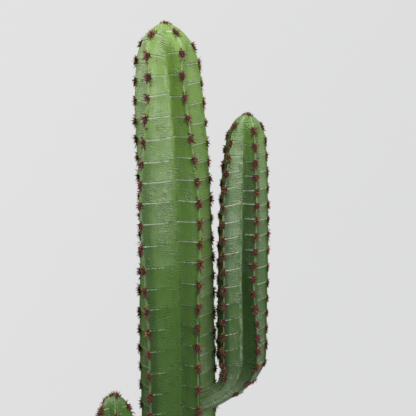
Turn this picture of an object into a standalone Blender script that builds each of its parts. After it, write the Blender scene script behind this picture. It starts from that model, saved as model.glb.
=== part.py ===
"""Potted artificial column cactus: a five-ribbed main stem with two upturned arms.

Metres, +Z up. The origin is the centre of the pot's flat underside, and the front
of the cactus faces -Y. Azimuths are in degrees from the front, growing towards +X.
A place along a limb is its depth below the limb's tip.
"""

import math
import random
from dataclasses import dataclass

import bmesh
import bpy
from mathutils import Vector

# Pot and filling
POT_HEIGHT = 0.150
POT_FOOT_RADIUS = 0.074
POT_TOP_RADIUS = 0.092
POT_WALL = 0.004
POT_FLOOR = 0.005
RIM_RADIUS = 0.098
RIM_HEIGHT = 0.016
RIM_ROUNDING = 0.0015
FILL_TOP = 0.130
FILL_CHAMFER = 0.004
TURNED_SIDES = 48

# Gaps between pieces that touch on the real object
SEAT_GAP = 0.0003
ROOT_GAP = 0.0005

# Main stem: its lean to the left and its bow to the right
STEM_TIP_SHIFT = -0.0197
STEM_BOW = 0.0058

# Elbow of an arm: where its curve starts and turns, as shares of the arm's offset
ELBOW_START = 0.13
ELBOW_REACH = 0.66
ELBOW_RISE = 0.012
ELBOW_DROP = 0.052
NECK_RADIUS = 0.0175
NECK_START = 0.58
FLUTES_END = 0.50
BARE_NECK_START = 0.52

# Tips: the dome's roundness, and where the ribs are full, as a share of its height
DOME_POWER = 0.75
RIBS_FULL = 1.1
TAPER_START = 0.55

# Rib section: valley radius as a share of the crest's, and the rounding of both
VALLEY_RATIO = 0.60
NECK_ROUNDNESS = 0.90
CREST_ROUNDING = 0.065
VALLEY_ROUNDING = 0.12

# Depth below the tip where a valley that isn't midway between its ribs is fully turned
VALLEY_TURN_RUN = 0.20

# Mesh rows down a limb, and the section's lines round it: three on each crest and valley
CREST_LINES = 3
RIB_LINES = 6
TIP_ROW = 0.0010
DOME_ROWS = 6
DOME_CROWDING = 1.6
ROW_SPACING = 0.036
ELBOW_ROW_SPACING = 0.012

# Areoles: their small shifts along a rib, and the crest's dip between two of them
AREOLE_HALF = 0.0024
AREOLE_WOBBLE = 0.0015
WOBBLE_TURNS = (2.4, 5.1)
NOTCH_DEPTH = 0.0014

# Spine tufts: four short spikes spread round each areole
SPIKE_LENGTH = 0.0065
TIP_SPIKE_LENGTH = 0.0040
TUFT_SPREAD = 0.75
TUFT_JITTER = 0.30
SPIKE_SEED = 11

SKIN_GREEN = (0.075, 0.150, 0.040, 1.0)
POT_CHARCOAL = (0.026, 0.027, 0.029, 1.0)
FILL_BROWN = (0.055, 0.036, 0.023, 1.0)


def smoothstep(low, high, value):
    """Zero below low, one above high and a smooth rise between them."""
    share = min(1.0, max(0.0, (value - low) / (high - low)))
    return share * share * (3 - 2 * share)


def heading(azimuth):
    """Level unit vector at an azimuth."""
    turn = math.radians(azimuth)
    return Vector((math.sin(turn), -math.cos(turn), 0.0))


@dataclass(frozen=True)
class Limb:
    """An upright ribbed column with a domed tip."""

    tip_height: float
    length: float
    dome_radius: float
    dome_height: float
    swell: float
    swell_start: float
    swell_run: float
    foot_taper: float
    stations: tuple
    rib_angles: tuple
    valley_turns: tuple
    first_areoles: tuple
    pitches: tuple

    def centre(self, depth):
        """Centre line of the main stem, which leans to the left with a bow."""
        share = 1 - depth / self.length
        bow = STEM_BOW * math.sin(math.pi * share)
        return Vector((STEM_TIP_SHIFT * share + bow, 0.0, self.tip_height - depth))

    def frame(self, depth):
        """Centre of the section, and its side and front vectors."""
        return self.centre(depth), Vector((1, 0, 0)), Vector((0, -1, 0))

    def radius(self, depth):
        """Radius over the crests."""
        share = min(1.0, depth / self.dome_height)
        dome = self.dome_radius * (1 - (1 - share) ** 2) ** DOME_POWER
        run = max(0.0, depth - self.swell_start)
        swell = self.swell * (1 - math.exp(-run / self.swell_run))
        taper = self.foot_taper * smoothstep(TAPER_START * self.length, self.length, depth)
        return dome + swell - taper

    def ratio(self, depth):
        """Valley radius as a share of the crest's: the ribs grow out of the round tip."""
        return 1 - (1 - VALLEY_RATIO) * smoothstep(0.0, RIBS_FULL * self.dome_height, depth)

    def bare_depth(self):
        """Depth below which the limb has no tufts."""
        return self.length

    def angles(self, depth):
        """Azimuth of each rib, eased from each station to the next."""
        found = []
        for values in self.rib_angles:
            angle = values[0]
            for i in range(1, len(values)):
                share = smoothstep(self.stations[i - 1], self.stations[i], depth)
                angle += (values[i] - values[i - 1]) * share
            found.append(angle)
        return found

    def valleys(self, depth):
        """Azimuth of the valley after each rib: midway to the next, and turned below the tip."""
        angles = self.angles(depth)
        following = angles[1:] + [angles[0] + 360]
        share = smoothstep(0.0, VALLEY_TURN_RUN, depth)
        turned = zip(angles, following, self.valley_turns)
        return [(angle + after) / 2 + turn * share for angle, after, turn in turned]


@dataclass(frozen=True)
class Arm(Limb):
    """A column that stands on an elbow, which leaves the main stem in a valley."""

    azimuth: float
    offset: float
    root_height: float
    tilt: float

    def foot(self):
        """Centre of the level joint between the upright part and the elbow."""
        foot_height = self.tip_height - self.length
        return MAIN.centre(MAIN.tip_height - foot_height) + heading(self.azimuth) * self.offset

    def centre(self, depth):
        """Centre line of the upright part, which bends slightly towards its tip."""
        share = 1 - depth / self.length
        centre = self.foot()
        return Vector((centre.x + self.tilt * share**2, centre.y, self.tip_height - depth))

    def elbow_controls(self):
        """Control points of the elbow's curve, from the joint down into the stem."""
        foot = self.foot()
        out = heading(self.azimuth) * self.offset
        below = foot - Vector((0, 0, ELBOW_DROP))
        reach = foot - out * (1 - ELBOW_REACH)
        start = foot - out * (1 - ELBOW_START)
        reach.z = self.root_height + ELBOW_RISE
        start.z = self.root_height
        return foot, below, reach, start

    def elbow_length(self):
        """Length of the elbow, taken as the mean of its chord and its control lines."""
        points = self.elbow_controls()
        lines = sum((b - a).length for a, b in zip(points, points[1:]))
        return (lines + (points[-1] - points[0]).length) / 2

    def bare_depth(self):
        """Depth below which the limb has no tufts: its neck is smooth."""
        return self.length + BARE_NECK_START * self.elbow_length()

    def frame(self, depth):
        """Centre of the section, and its side and front vectors, square to the elbow."""
        if depth <= self.length:
            return super().frame(depth)
        t = (depth - self.length) / self.elbow_length()
        a, b, c, d = self.elbow_controls()
        u = 1 - t
        centre = a * u**3 + b * 3 * u * u * t + c * 3 * u * t * t + d * t**3
        along = -((b - a) * u * u + (c - b) * 2 * u * t + (d - c) * t * t).normalized()
        turn = Vector((0, 0, 1)).rotation_difference(along)
        return centre, turn @ Vector((1, 0, 0)), turn @ Vector((0, -1, 0))

    def radius(self, depth):
        """Radius over the crests, narrowing along the elbow to its neck."""
        if depth <= self.length:
            return super().radius(depth)
        t = (depth - self.length) / self.elbow_length()
        full = super().radius(self.length)
        return full + (NECK_RADIUS - full) * smoothstep(0.0, NECK_START, t)

    def ratio(self, depth):
        """Valley ratio, fading along the elbow to an almost round neck."""
        if depth <= self.length:
            return super().ratio(depth)
        t = (depth - self.length) / self.elbow_length()
        return VALLEY_RATIO + (NECK_ROUNDNESS - VALLEY_RATIO) * smoothstep(0.0, FLUTES_END, t)


MAIN = Limb(
    tip_height=1.080,
    length=0.950,
    dome_radius=0.0518,
    dome_height=0.064,
    swell=0.0145,
    swell_start=0.048,
    swell_run=0.112,
    foot_taper=0.006,
    stations=(0.02, 0.08, 0.30, 0.52, 0.95),
    rib_angles=(
        (-110, -110, -123, -113, -112),
        (-40, -31, -52, -41, -42),
        (37, 27, 44, 33, 33),
        (106, 106, 105, 106, 104),
        (178, 178, 178, 178, 176),
    ),
    valley_turns=(0, 14, 0, 0, 0),
    first_areoles=(0.031, 0.020, 0.0185, 0.036, 0.027),
    pitches=(0.0310, 0.0335, 0.0329, 0.0308, 0.0320),
)
RIGHT = Arm(
    tip_height=0.9373,
    length=0.3805,
    dome_radius=0.0308,
    dome_height=0.0384,
    swell=0.0122,
    swell_start=0.0288,
    swell_run=0.072,
    foot_taper=0.0006,
    stations=(0.05, 0.15, 0.26, 0.36),
    rib_angles=(
        (-110, -112, -114, -112),
        (-48, -55, -46, -46),
        (24, 29, 24, 36),
        (106, 105, 104, 108),
        (178, 177, 176, 178),
    ),
    valley_turns=(0, 8, 0, 0, 0),
    first_areoles=(0.034, 0.0186, 0.0296, 0.018, 0.025),
    pitches=(0.0255, 0.0255, 0.0228, 0.0250, 0.0240),
    azimuth=72.0,
    offset=0.1105,
    root_height=0.466,
    tilt=0.007,
)
LEFT = Arm(
    tip_height=0.488,
    length=0.188,
    dome_radius=0.0296,
    dome_height=0.0400,
    swell=0.0090,
    swell_start=0.0290,
    swell_run=0.060,
    foot_taper=0.0020,
    stations=(0.02, 0.18),
    rib_angles=((-118, -112), (-50, -42), (4, 30), (76, 102), (150, 172)),
    valley_turns=(0, 0, 0, 0, 0),
    first_areoles=(0.012, 0.023, 0.034, 0.018, 0.026),
    pitches=(0.0240, 0.0235, 0.0245, 0.0240, 0.0235),
    azimuth=-77.0,
    offset=0.1018,
    root_height=0.212,
    tilt=-0.002,
)


def star_section(angles, valleys, radius, ratio):
    """Section points as (side, front) vectors: three round each crest, three round each valley."""
    corners = []
    for angle, valley in zip(angles, valleys):
        for turn, reach, share in (
            (angle, radius, CREST_ROUNDING),
            (valley, radius * ratio, VALLEY_ROUNDING),
        ):
            turn = math.radians(turn)
            corners.append((Vector((math.sin(turn), math.cos(turn))) * reach, share))
    points = []
    for i, (corner, share) in enumerate(corners):
        before = corner.lerp(corners[i - 1][0], share)
        after = corner.lerp(corners[(i + 1) % len(corners)][0], share)
        points += [before, corner.lerp((before + after) / 2, 0.5), after]
    return points


def skin_point(limb, depth, line, sink=0.0):
    """Point of one of the section's lines at a depth."""
    centre, side, front = limb.frame(depth)
    radius = limb.radius(depth) - sink
    section = star_section(limb.angles(depth), limb.valleys(depth), radius, limb.ratio(depth))
    return centre + side * section[line].x + front * section[line].y


def areole_depths(limb, rib, start, end):
    """Depths of a rib's areoles between two depths, about a pitch apart."""
    per_rib, per_areole = WOBBLE_TURNS
    margin = 2 * AREOLE_HALF
    found = []
    for number in range(math.ceil((end - limb.first_areoles[rib]) / limb.pitches[rib])):
        wobble = AREOLE_WOBBLE * math.sin(per_rib * rib + per_areole * number)
        found.append(limb.first_areoles[rib] + number * limb.pitches[rib] + wobble)
    return [depth for depth in found if start + margin < depth < end - margin]


def plain_rows(limb, start, end):
    """Depths of the rows from start to end, close together over the dome and the elbow."""
    rows = [limb.dome_height * (i / DOME_ROWS) ** DOME_CROWDING for i in range(1, DOME_ROWS)]
    rows = [TIP_ROW] + [depth for depth in rows if depth > 2 * TIP_ROW] if start == 0 else []
    first = limb.dome_height if start == 0 else start
    spacing = ROW_SPACING if start == 0 else ELBOW_ROW_SPACING
    steps = max(1, round((end - first) / spacing))
    return rows + [first + (end - first) * i / steps for i in range(steps + 1)]


def crest_rows(plain, areoles):
    """Rows of a crest: (depth, sink) pairs, three at each areole and a dip between areoles."""
    tufts = [areole + step for areole in areoles for step in (-AREOLE_HALF, 0, AREOLE_HALF)]
    rows = [(depth, 0.0) for depth in tufts]
    rows += [((a + b) / 2, NOTCH_DEPTH) for a, b in zip(areoles, areoles[1:])]
    first = areoles[0] - 2 * AREOLE_HALF
    last = areoles[-1] + 2 * AREOLE_HALF
    rows += [(depth, 0.0) for depth in plain if depth < first or depth > last]
    return sorted(rows)


def spike_tip(limb, depth, rib, sideways, upward, rng):
    """Tip of one spike of a tuft."""
    _, side, front = limb.frame(depth)
    turn = math.radians(limb.angles(depth)[rib])
    out = side * math.sin(turn) + front * math.cos(turn)
    across = side * math.cos(turn) - front * math.sin(turn)
    slope = (limb.radius(depth + TIP_ROW) - limb.radius(depth - TIP_ROW)) / (2 * TIP_ROW)
    normal = (out + front.cross(side) * slope).normalized()
    lean = across * (sideways * TUFT_SPREAD + rng.uniform(-TUFT_JITTER, TUFT_JITTER))
    rise = normal.cross(across) * (upward * TUFT_SPREAD + rng.uniform(-TUFT_JITTER, TUFT_JITTER))
    foot = skin_point(limb, depth, RIB_LINES * rib + 1)
    return foot + (normal + lean + rise).normalized() * SPIKE_LENGTH


def zip_lines(mesh, left, right):
    """Triangles between two lines of (depth, vertex) pairs with their own rows."""
    i = 0
    j = 0
    while i + 1 < len(left) or j + 1 < len(right):
        ahead_left = left[i + 1][0] if i + 1 < len(left) else math.inf
        ahead_right = right[j + 1][0] if j + 1 < len(right) else math.inf
        if ahead_left <= ahead_right:
            mesh.faces.new((left[i][1], left[i + 1][1], right[j][1]))
            i += 1
        else:
            mesh.faces.new((left[i][1], right[j + 1][1], right[j][1]))
            j += 1


def raise_spike(mesh, corners, tip):
    """A spike on a face's corners, in place of the face."""
    apex = mesh.verts.new(tip)
    for i in range(len(corners)):
        mesh.faces.new((corners[i - 1], corners[i], apex))


def crest_strip(mesh, left, right, tips):
    """Faces between two lines with the same rows; a row in tips rises to a spike there."""
    for (depth, a), (_, b), (_, c), (_, d) in zip(left, left[1:], right[1:], right):
        if depth in tips:
            raise_spike(mesh, (a, b, c, d), tips[depth])
        else:
            mesh.faces.new((a, b, c, d))


def domed_tip(mesh, limb, lines, grow, spiked):
    """Closes the top round the tip, with one spike over each rib's first face."""
    apex = mesh.verts.new(limb.centre(0) + Vector((0, 0, grow)))
    for line in range(len(lines)):
        corners = (lines[line - 1][0][1], lines[line][0][1], apex)
        if spiked and line % RIB_LINES == 1:
            out = (corners[0].co + corners[1].co) / 2 - limb.centre(TIP_ROW)
            lean = (out.normalized() * TUFT_SPREAD + Vector((0, 0, 1))).normalized()
            raise_spike(mesh, corners, apex.co + lean * TIP_SPIKE_LENGTH)
        else:
            mesh.faces.new(corners)


def limb_mesh(limb, start, end, rng=None, grow=0.0):
    """Closed ribbed mesh between two depths, with tufts where it has a random source.

    A limb that starts at depth 0 has the domed tip, and any other end is flat.
    """
    mesh = bmesh.new()
    plain = plain_rows(limb, start, end)
    lines = []
    strips = {}
    for rib in range(len(limb.rib_angles)):
        areoles = areole_depths(limb, rib, start, min(end, limb.bare_depth())) if rng else []
        level = [(depth, 0.0) for depth in plain]
        rows = crest_rows(plain, areoles) if areoles else level
        first = RIB_LINES * rib
        for line in range(first, first + RIB_LINES):
            own = rows if line < first + CREST_LINES else level
            points = [(depth, skin_point(limb, depth, line, sink - grow)) for depth, sink in own]
            lines.append([(depth, mesh.verts.new(point)) for depth, point in points])
        for sideways, line in ((-1, first), (1, first + 1)):
            strips[line] = {}
            for areole in areoles:
                for depth, upward in ((areole - AREOLE_HALF, 1), (areole, -1)):
                    strips[line][depth] = spike_tip(limb, areole, rib, sideways, upward, rng)
    for line in range(len(lines)):
        beside = lines[(line + 1) % len(lines)]
        if line in strips:
            crest_strip(mesh, lines[line], beside, strips[line])
        else:
            zip_lines(mesh, lines[line], beside)
    if start == 0:
        domed_tip(mesh, limb, lines, grow, rng is not None)
    else:
        mesh.faces.new([line[0][1] for line in lines])
    mesh.faces.new([line[-1][1] for line in lines])
    bmesh.ops.recalc_face_normals(mesh, faces=mesh.faces)
    return mesh


def material(name, colour, roughness):
    """A plain Principled material."""
    made = bpy.data.materials.new(name)
    made.use_nodes = True
    shader = made.node_tree.nodes["Principled BSDF"]
    shader.inputs["Base Color"].default_value = colour
    shader.inputs["Roughness"].default_value = roughness
    shader.inputs["Metallic"].default_value = 0.0
    return made


def make_object(name, mesh, finish, sharp_degrees=50):
    """A smooth-shaded object from a bmesh, which is then freed."""
    data = bpy.data.meshes.new(name)
    mesh.to_mesh(data)
    mesh.free()
    data.materials.append(finish)
    data.shade_smooth()
    data.set_sharp_from_angle(angle=math.radians(sharp_degrees))
    made = bpy.data.objects.new(name, data)
    bpy.context.scene.collection.objects.link(made)
    return made


def cut_by(obj, cutter):
    """Cuts obj with a hidden cutter."""
    cutter.hide_render = True
    cutter.display_type = "WIRE"
    modifier = obj.modifiers.new("seat", "BOOLEAN")
    modifier.operation = "DIFFERENCE"
    modifier.object = cutter


def turned_mesh(profile):
    """Closed mesh from (radius, height) points turned about Z, from axis to axis."""
    mesh = bmesh.new()
    rows = []
    for radius, height in profile:
        if radius == 0:
            rows.append([mesh.verts.new((0, 0, height))])
            continue
        row = []
        for i in range(TURNED_SIDES):
            turn = 2 * math.pi * i / TURNED_SIDES
            row.append(mesh.verts.new((radius * math.cos(turn), radius * math.sin(turn), height)))
        rows.append(row)
    for first, second in zip(rows, rows[1:]):
        for i in range(TURNED_SIDES):
            j = (i + 1) % TURNED_SIDES
            corners = [first[i % len(first)], first[j % len(first)]]
            corners += [second[j % len(second)], second[i % len(second)]]
            mesh.faces.new(list(dict.fromkeys(corners)))
    bmesh.ops.recalc_face_normals(mesh, faces=mesh.faces)
    return mesh


def pot_radius(height):
    """Outer radius of the pot's tapered wall."""
    return POT_FOOT_RADIUS + (POT_TOP_RADIUS - POT_FOOT_RADIUS) * height / POT_HEIGHT


def make_pot(finish):
    """A plain tapered pot with a band round its rim."""
    band = POT_HEIGHT - RIM_HEIGHT
    profile = [
        (0, 0),
        (POT_FOOT_RADIUS - RIM_ROUNDING, 0),
        (POT_FOOT_RADIUS, RIM_ROUNDING),
        (pot_radius(band), band),
        (RIM_RADIUS - RIM_ROUNDING, band),
        (RIM_RADIUS, band + RIM_ROUNDING),
        (RIM_RADIUS, POT_HEIGHT - RIM_ROUNDING),
        (RIM_RADIUS - RIM_ROUNDING, POT_HEIGHT),
        (POT_TOP_RADIUS - POT_WALL + RIM_ROUNDING, POT_HEIGHT),
        (POT_TOP_RADIUS - POT_WALL, POT_HEIGHT - RIM_ROUNDING),
        (pot_radius(POT_FLOOR) - POT_WALL, POT_FLOOR),
        (0, POT_FLOOR),
    ]
    make_object("pot", turned_mesh(profile), finish)


def make_filling(finish):
    """The filling that the stem's foot stands on, a little below the rim."""
    low = POT_FLOOR + SEAT_GAP
    clear = POT_WALL + SEAT_GAP
    profile = [
        (0, low),
        (pot_radius(low) - clear, low),
        (pot_radius(FILL_TOP - FILL_CHAMFER) - clear, FILL_TOP - FILL_CHAMFER),
        (pot_radius(FILL_TOP) - clear - FILL_CHAMFER, FILL_TOP - SEAT_GAP),
        (0, FILL_TOP - SEAT_GAP),
    ]
    make_object("filling", turned_mesh(profile), finish)


def make_main_stem(finish, rng):
    """The ribbed main stem, from its flat cut on the filling to its tip."""
    make_object("main_stem", limb_mesh(MAIN, 0, MAIN.length, rng), finish)


def make_arm(side, arm, clearance, finish, rng):
    """An upright arm and the elbow under it, trimmed clear of the main stem."""
    make_object(f"{side}_arm", limb_mesh(arm, 0, arm.length, rng), finish)
    start = arm.length + SEAT_GAP
    end = arm.length + arm.elbow_length()
    elbow = make_object(f"{side}_elbow", limb_mesh(arm, start, end, rng), finish)
    cut_by(elbow, clearance)


def main():
    for obj in list(bpy.data.objects):
        bpy.data.objects.remove(obj)
    rng = random.Random(SPIKE_SEED)
    skin = material("stem_skin", SKIN_GREEN, 0.45)
    make_pot(material("pot_plastic", POT_CHARCOAL, 0.55))
    make_filling(material("filling", FILL_BROWN, 0.95))
    make_main_stem(skin, rng)
    grown = limb_mesh(MAIN, 0, MAIN.length, grow=ROOT_GAP)
    clearance = make_object("stem_clearance", grown, skin)
    make_arm("right", RIGHT, clearance, skin, rng)
    make_arm("left", LEFT, clearance, skin, rng)


main()
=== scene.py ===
"""Looks of a potted artificial column cactus: moulded skins, spine tufts, pot and gravel.

Metres, +Z up, and the front of the cactus faces -Y. Azimuths are in degrees from the
front, growing towards +X. A place along a limb is its depth below the limb's tip. A
place across a rib is its swing: 0 on the crest, -1 and 1 in the valleys beside it.
"""

import logging
import math
from collections.abc import Callable, Mapping, Sequence
from dataclasses import dataclass
from enum import Enum
from typing import Any

import bmesh
import bpy
import numpy as np
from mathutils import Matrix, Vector, noise


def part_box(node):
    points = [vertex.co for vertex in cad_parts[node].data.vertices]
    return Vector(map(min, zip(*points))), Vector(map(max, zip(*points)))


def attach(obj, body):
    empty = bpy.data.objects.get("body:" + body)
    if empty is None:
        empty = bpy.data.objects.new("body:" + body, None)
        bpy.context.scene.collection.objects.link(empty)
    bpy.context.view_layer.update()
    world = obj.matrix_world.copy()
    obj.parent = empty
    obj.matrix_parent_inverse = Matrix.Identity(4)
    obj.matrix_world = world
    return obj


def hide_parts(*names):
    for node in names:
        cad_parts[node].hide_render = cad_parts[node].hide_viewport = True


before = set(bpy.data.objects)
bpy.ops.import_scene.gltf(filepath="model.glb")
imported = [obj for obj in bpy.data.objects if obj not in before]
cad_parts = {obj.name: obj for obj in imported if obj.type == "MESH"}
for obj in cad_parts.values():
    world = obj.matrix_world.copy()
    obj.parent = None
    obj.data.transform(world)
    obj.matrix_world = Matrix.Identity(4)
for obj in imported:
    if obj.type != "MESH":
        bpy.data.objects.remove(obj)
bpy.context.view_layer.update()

LOG = logging.getLogger("cactus")
BODY = "root"
Colour = tuple[float, float, float, float]

# Main stem: its lean to the left and its bow to the right
STEM_TIP_SHIFT = -0.0197
STEM_BOW = 0.0058

# Elbow of an arm: where its curve starts and turns, as shares of the arm's offset
ELBOW_START = 0.13
ELBOW_REACH = 0.66
ELBOW_RISE = 0.012
ELBOW_DROP = 0.052
NECK_RADIUS = 0.0175
NECK_START = 0.58
FLUTES_END = 0.50
BARE_NECK_START = 0.52

# Tips: the dome's roundness, and where the ribs are full, as a share of its height
DOME_POWER = 0.75
RIBS_FULL = 1.1
TAPER_START = 0.55

# Rib section: valley radius as a share of the crest's, and the rounding of both
VALLEY_RATIO = 0.60
NECK_ROUNDNESS = 0.90
CREST_ROUNDING = 0.065
VALLEY_ROUNDING = 0.12
VALLEY_TURN_RUN = 0.20
CREST_END = 0.07
VALLEY_START = 0.90

# Areoles: half their height, and their small shifts along a rib
AREOLE_HALF = 0.0024
AREOLE_WOBBLE = 0.0015
WOBBLE_TURNS = (2.4, 5.1)


def smoothstep(low: float, high: float, value: np.ndarray) -> np.ndarray:
    """Zero below low, one above high and a smooth rise between them."""
    share = np.clip((value - low) / (high - low), 0.0, 1.0)
    return share * share * (3 - 2 * share)


def polar(azimuth: np.ndarray, reach: np.ndarray) -> np.ndarray:
    """Section points, as (to the side, to the front), at azimuths and reaches."""
    turn = np.radians(azimuth)
    return np.stack((np.sin(turn), np.cos(turn)), axis=-1) * np.asarray(reach)[..., None]


def between(start: np.ndarray, end: np.ndarray, share: float | np.ndarray) -> np.ndarray:
    """Points at a share of the way from start to end."""
    return start + (end - start) * share


def quadratic(start: np.ndarray, corner: np.ndarray, end: np.ndarray, t: np.ndarray) -> np.ndarray:
    """Points of the quadratic curve that rounds a corner."""
    return start * (1 - t) ** 2 + corner * 2 * t * (1 - t) + end * t**2


def unit(vectors: np.ndarray) -> np.ndarray:
    """Vectors of the same directions with length one."""
    return vectors / np.linalg.norm(vectors, axis=-1, keepdims=True)


def ride(piece: bpy.types.Object, slot: str, *nodes: str) -> bpy.types.Object:
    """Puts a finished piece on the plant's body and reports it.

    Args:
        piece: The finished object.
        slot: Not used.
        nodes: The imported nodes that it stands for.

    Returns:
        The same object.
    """
    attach(piece, BODY)
    if nodes:
        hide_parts(*nodes)
    triangles = sum(len(face.vertices) - 2 for face in piece.data.polygons)
    LOG.info("%s: %d triangles", piece.name, triangles)
    return piece


class Graph:
    """Short calls for adding, setting and linking the nodes of one tree."""

    def __init__(self, tree: bpy.types.NodeTree) -> None:
        """Keeps the tree that nodes are added to."""
        self.tree = tree

    @staticmethod
    def socket(sockets: Any, key: str | int) -> bpy.types.NodeSocket:
        """Finds a socket in use by its name, or any by its number."""
        if isinstance(key, int):
            return sockets[key]
        return next(found for found in sockets if found.name == key and found.enabled)

    def feed(self, target: bpy.types.NodeSocket, value: Any) -> None:
        """Links a node or a socket to an input, or sets the input's own value."""
        if isinstance(value, bpy.types.Node):
            value = next(found for found in value.outputs if found.enabled)
        if isinstance(value, bpy.types.NodeSocket):
            self.tree.links.new(value, target)
        else:
            target.default_value = value

    def add(self, kind: str, inputs: Mapping[str | int, Any] | None = None, **settings: Any) -> bpy.types.Node:
        """Adds a node.

        Args:
            kind: The node's type.
            inputs: What feeds each input: a node, a socket or a plain value.
            settings: The node's own properties.

        Returns:
            The new node.
        """
        node = self.tree.nodes.new(kind)
        for name, value in settings.items():
            setattr(node, name, value)
        for key, value in (inputs or {}).items():
            self.feed(self.socket(node.inputs, key), value)
        return node

    def sum(self, operation: str, first: Any, second: Any = 0.0) -> bpy.types.Node:
        """Adds a Math node on one or two values."""
        return self.add("ShaderNodeMath", {0: first, 1: second}, operation=operation)

    def times(self, *factors: Any) -> Any:
        """Product of several values."""
        product = factors[0]
        for factor in factors[1:]:
            product = self.sum("MULTIPLY", product, factor)
        return product

    def vector(self, operation: str, first: Any, second: Any = (0.0, 0.0, 0.0)) -> bpy.types.Node:
        """Adds a Vector Math node on one or two vectors."""
        return self.add("ShaderNodeVectorMath", {0: first, 1: second}, operation=operation)

    def rise(self, value: Any, low: float, high: float, start: float = 0.0, end: float = 1.0) -> bpy.types.Node:
        """Smooth change from start, at low, to end, at high."""
        limits = {"From Min": low, "From Max": high, "To Min": start, "To Max": end}
        return self.add("ShaderNodeMapRange", {"Value": value, **limits}, interpolation_type="SMOOTHSTEP")

    def blend(self, share: Any, first: Any, second: Any, mode: str = "MIX") -> bpy.types.Node:
        """Mix of two colours."""
        inputs = {"Factor": share, "A": first, "B": second}
        return self.add("ShaderNodeMix", inputs, data_type="RGBA", blend_type=mode)

    def stretch(self, vector: Any, scale: Sequence[float]) -> bpy.types.Node:
        """Vector scaled by its own factor along each axis."""
        return self.vector("MULTIPLY", vector, tuple(scale))

    def cloud(self, vector: Any, scale: float, detail: float = 2.0, rough: float = 0.5) -> bpy.types.Node:
        """Noise value of a vector."""
        inputs = {"Vector": vector, "Scale": scale, "Detail": detail, "Roughness": rough}
        return self.add("ShaderNodeTexNoise", inputs)

    def attribute(self, name: str, output: str = "Fac") -> bpy.types.NodeSocket:
        """Value of one of the mesh's own attributes."""
        return self.add("ShaderNodeAttribute", attribute_name=name).outputs[output]

    def ramp(self, value: Any, stops: Sequence[tuple[float, Colour]]) -> bpy.types.Node:
        """Colour that changes with a value, through stops of (value, colour)."""
        node = self.add("ShaderNodeValToRGB", {"Fac": value})
        elements = node.color_ramp.elements
        while len(elements) < len(stops):
            elements.new(0.5)
        for element, (position, colour) in zip(elements, stops):
            element.position = position
            element.color = colour
        return node


def new_group(name: str, kind: str, inputs: Mapping[str, str], outputs: Mapping[str, str]) -> tuple[Graph, Any, Any]:
    """Starts a node group with named sockets.

    Args:
        name: The group's name.
        kind: The tree's type.
        inputs: Socket type for each input name.
        outputs: Socket type for each output name.

    Returns:
        The graph, its input node and its output node.
    """
    graph = Graph(bpy.data.node_groups.new(name, kind))
    for direction, sockets in (("INPUT", inputs), ("OUTPUT", outputs)):
        for socket, socket_type in sockets.items():
            graph.tree.interface.new_socket(socket, in_out=direction, socket_type=socket_type)
    return graph, graph.add("NodeGroupInput"), graph.add("NodeGroupOutput")


def grain_group() -> bpy.types.NodeTree:
    """Shared moulding grain: a fine height and a slow shade, both from 0 to 1."""
    inputs = {"Vector": "NodeSocketVector", "Fine": "NodeSocketFloat", "Slow": "NodeSocketFloat"}
    outputs = {"Height": "NodeSocketFloat", "Shade": "NodeSocketFloat"}
    graph, given, result = new_group("moulding_grain", "ShaderNodeTree", inputs, outputs)
    fine = graph.cloud(given.outputs["Vector"], 1.0, 3.0, 0.6)
    graph.feed(fine.inputs["Scale"], given.outputs["Fine"])
    slow = graph.cloud(given.outputs["Vector"], 1.0, 2.0)
    graph.feed(slow.inputs["Scale"], given.outputs["Slow"])
    graph.feed(result.inputs["Height"], fine)
    graph.feed(result.inputs["Shade"], graph.rise(slow, 0.3, 0.7))
    return graph.tree


def dust_group() -> bpy.types.NodeTree:
    """Shared dust: a mask on what faces up, broken by noise."""
    inputs = {"Vector": "NodeSocketVector", "Scale": "NodeSocketFloat"}
    outputs = {"Mask": "NodeSocketFloat"}
    graph, given, result = new_group("settled_dust", "ShaderNodeTree", inputs, outputs)
    facing = graph.add("ShaderNodeSeparateXYZ", {0: graph.add("ShaderNodeNewGeometry").outputs["Normal"]})
    specks = graph.cloud(given.outputs["Vector"], 1.0, 4.0, 0.65)
    graph.feed(specks.inputs["Scale"], given.outputs["Scale"])
    up = graph.rise(facing.outputs["Z"], 0.2, 0.95)
    graph.feed(result.inputs["Mask"], graph.times(up, graph.rise(specks, 0.35, 0.7)))
    return graph.tree


@dataclass(frozen=True)
class Effects:
    """The node groups that several materials share."""

    grain: bpy.types.NodeTree
    dust: bpy.types.NodeTree


@dataclass(frozen=True)
class Finish:
    """A material with one Principled shader."""

    name: str
    roughness: float

    def start(self) -> tuple[bpy.types.Material, Graph, bpy.types.Node]:
        """Makes the material.

        Returns:
            The material, its graph and its shader node.
        """
        made = bpy.data.materials.new(self.name)
        made.use_nodes = True
        shader = made.node_tree.nodes["Principled BSDF"]
        shader.inputs["Roughness"].default_value = self.roughness
        return made, Graph(made.node_tree), shader


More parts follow.
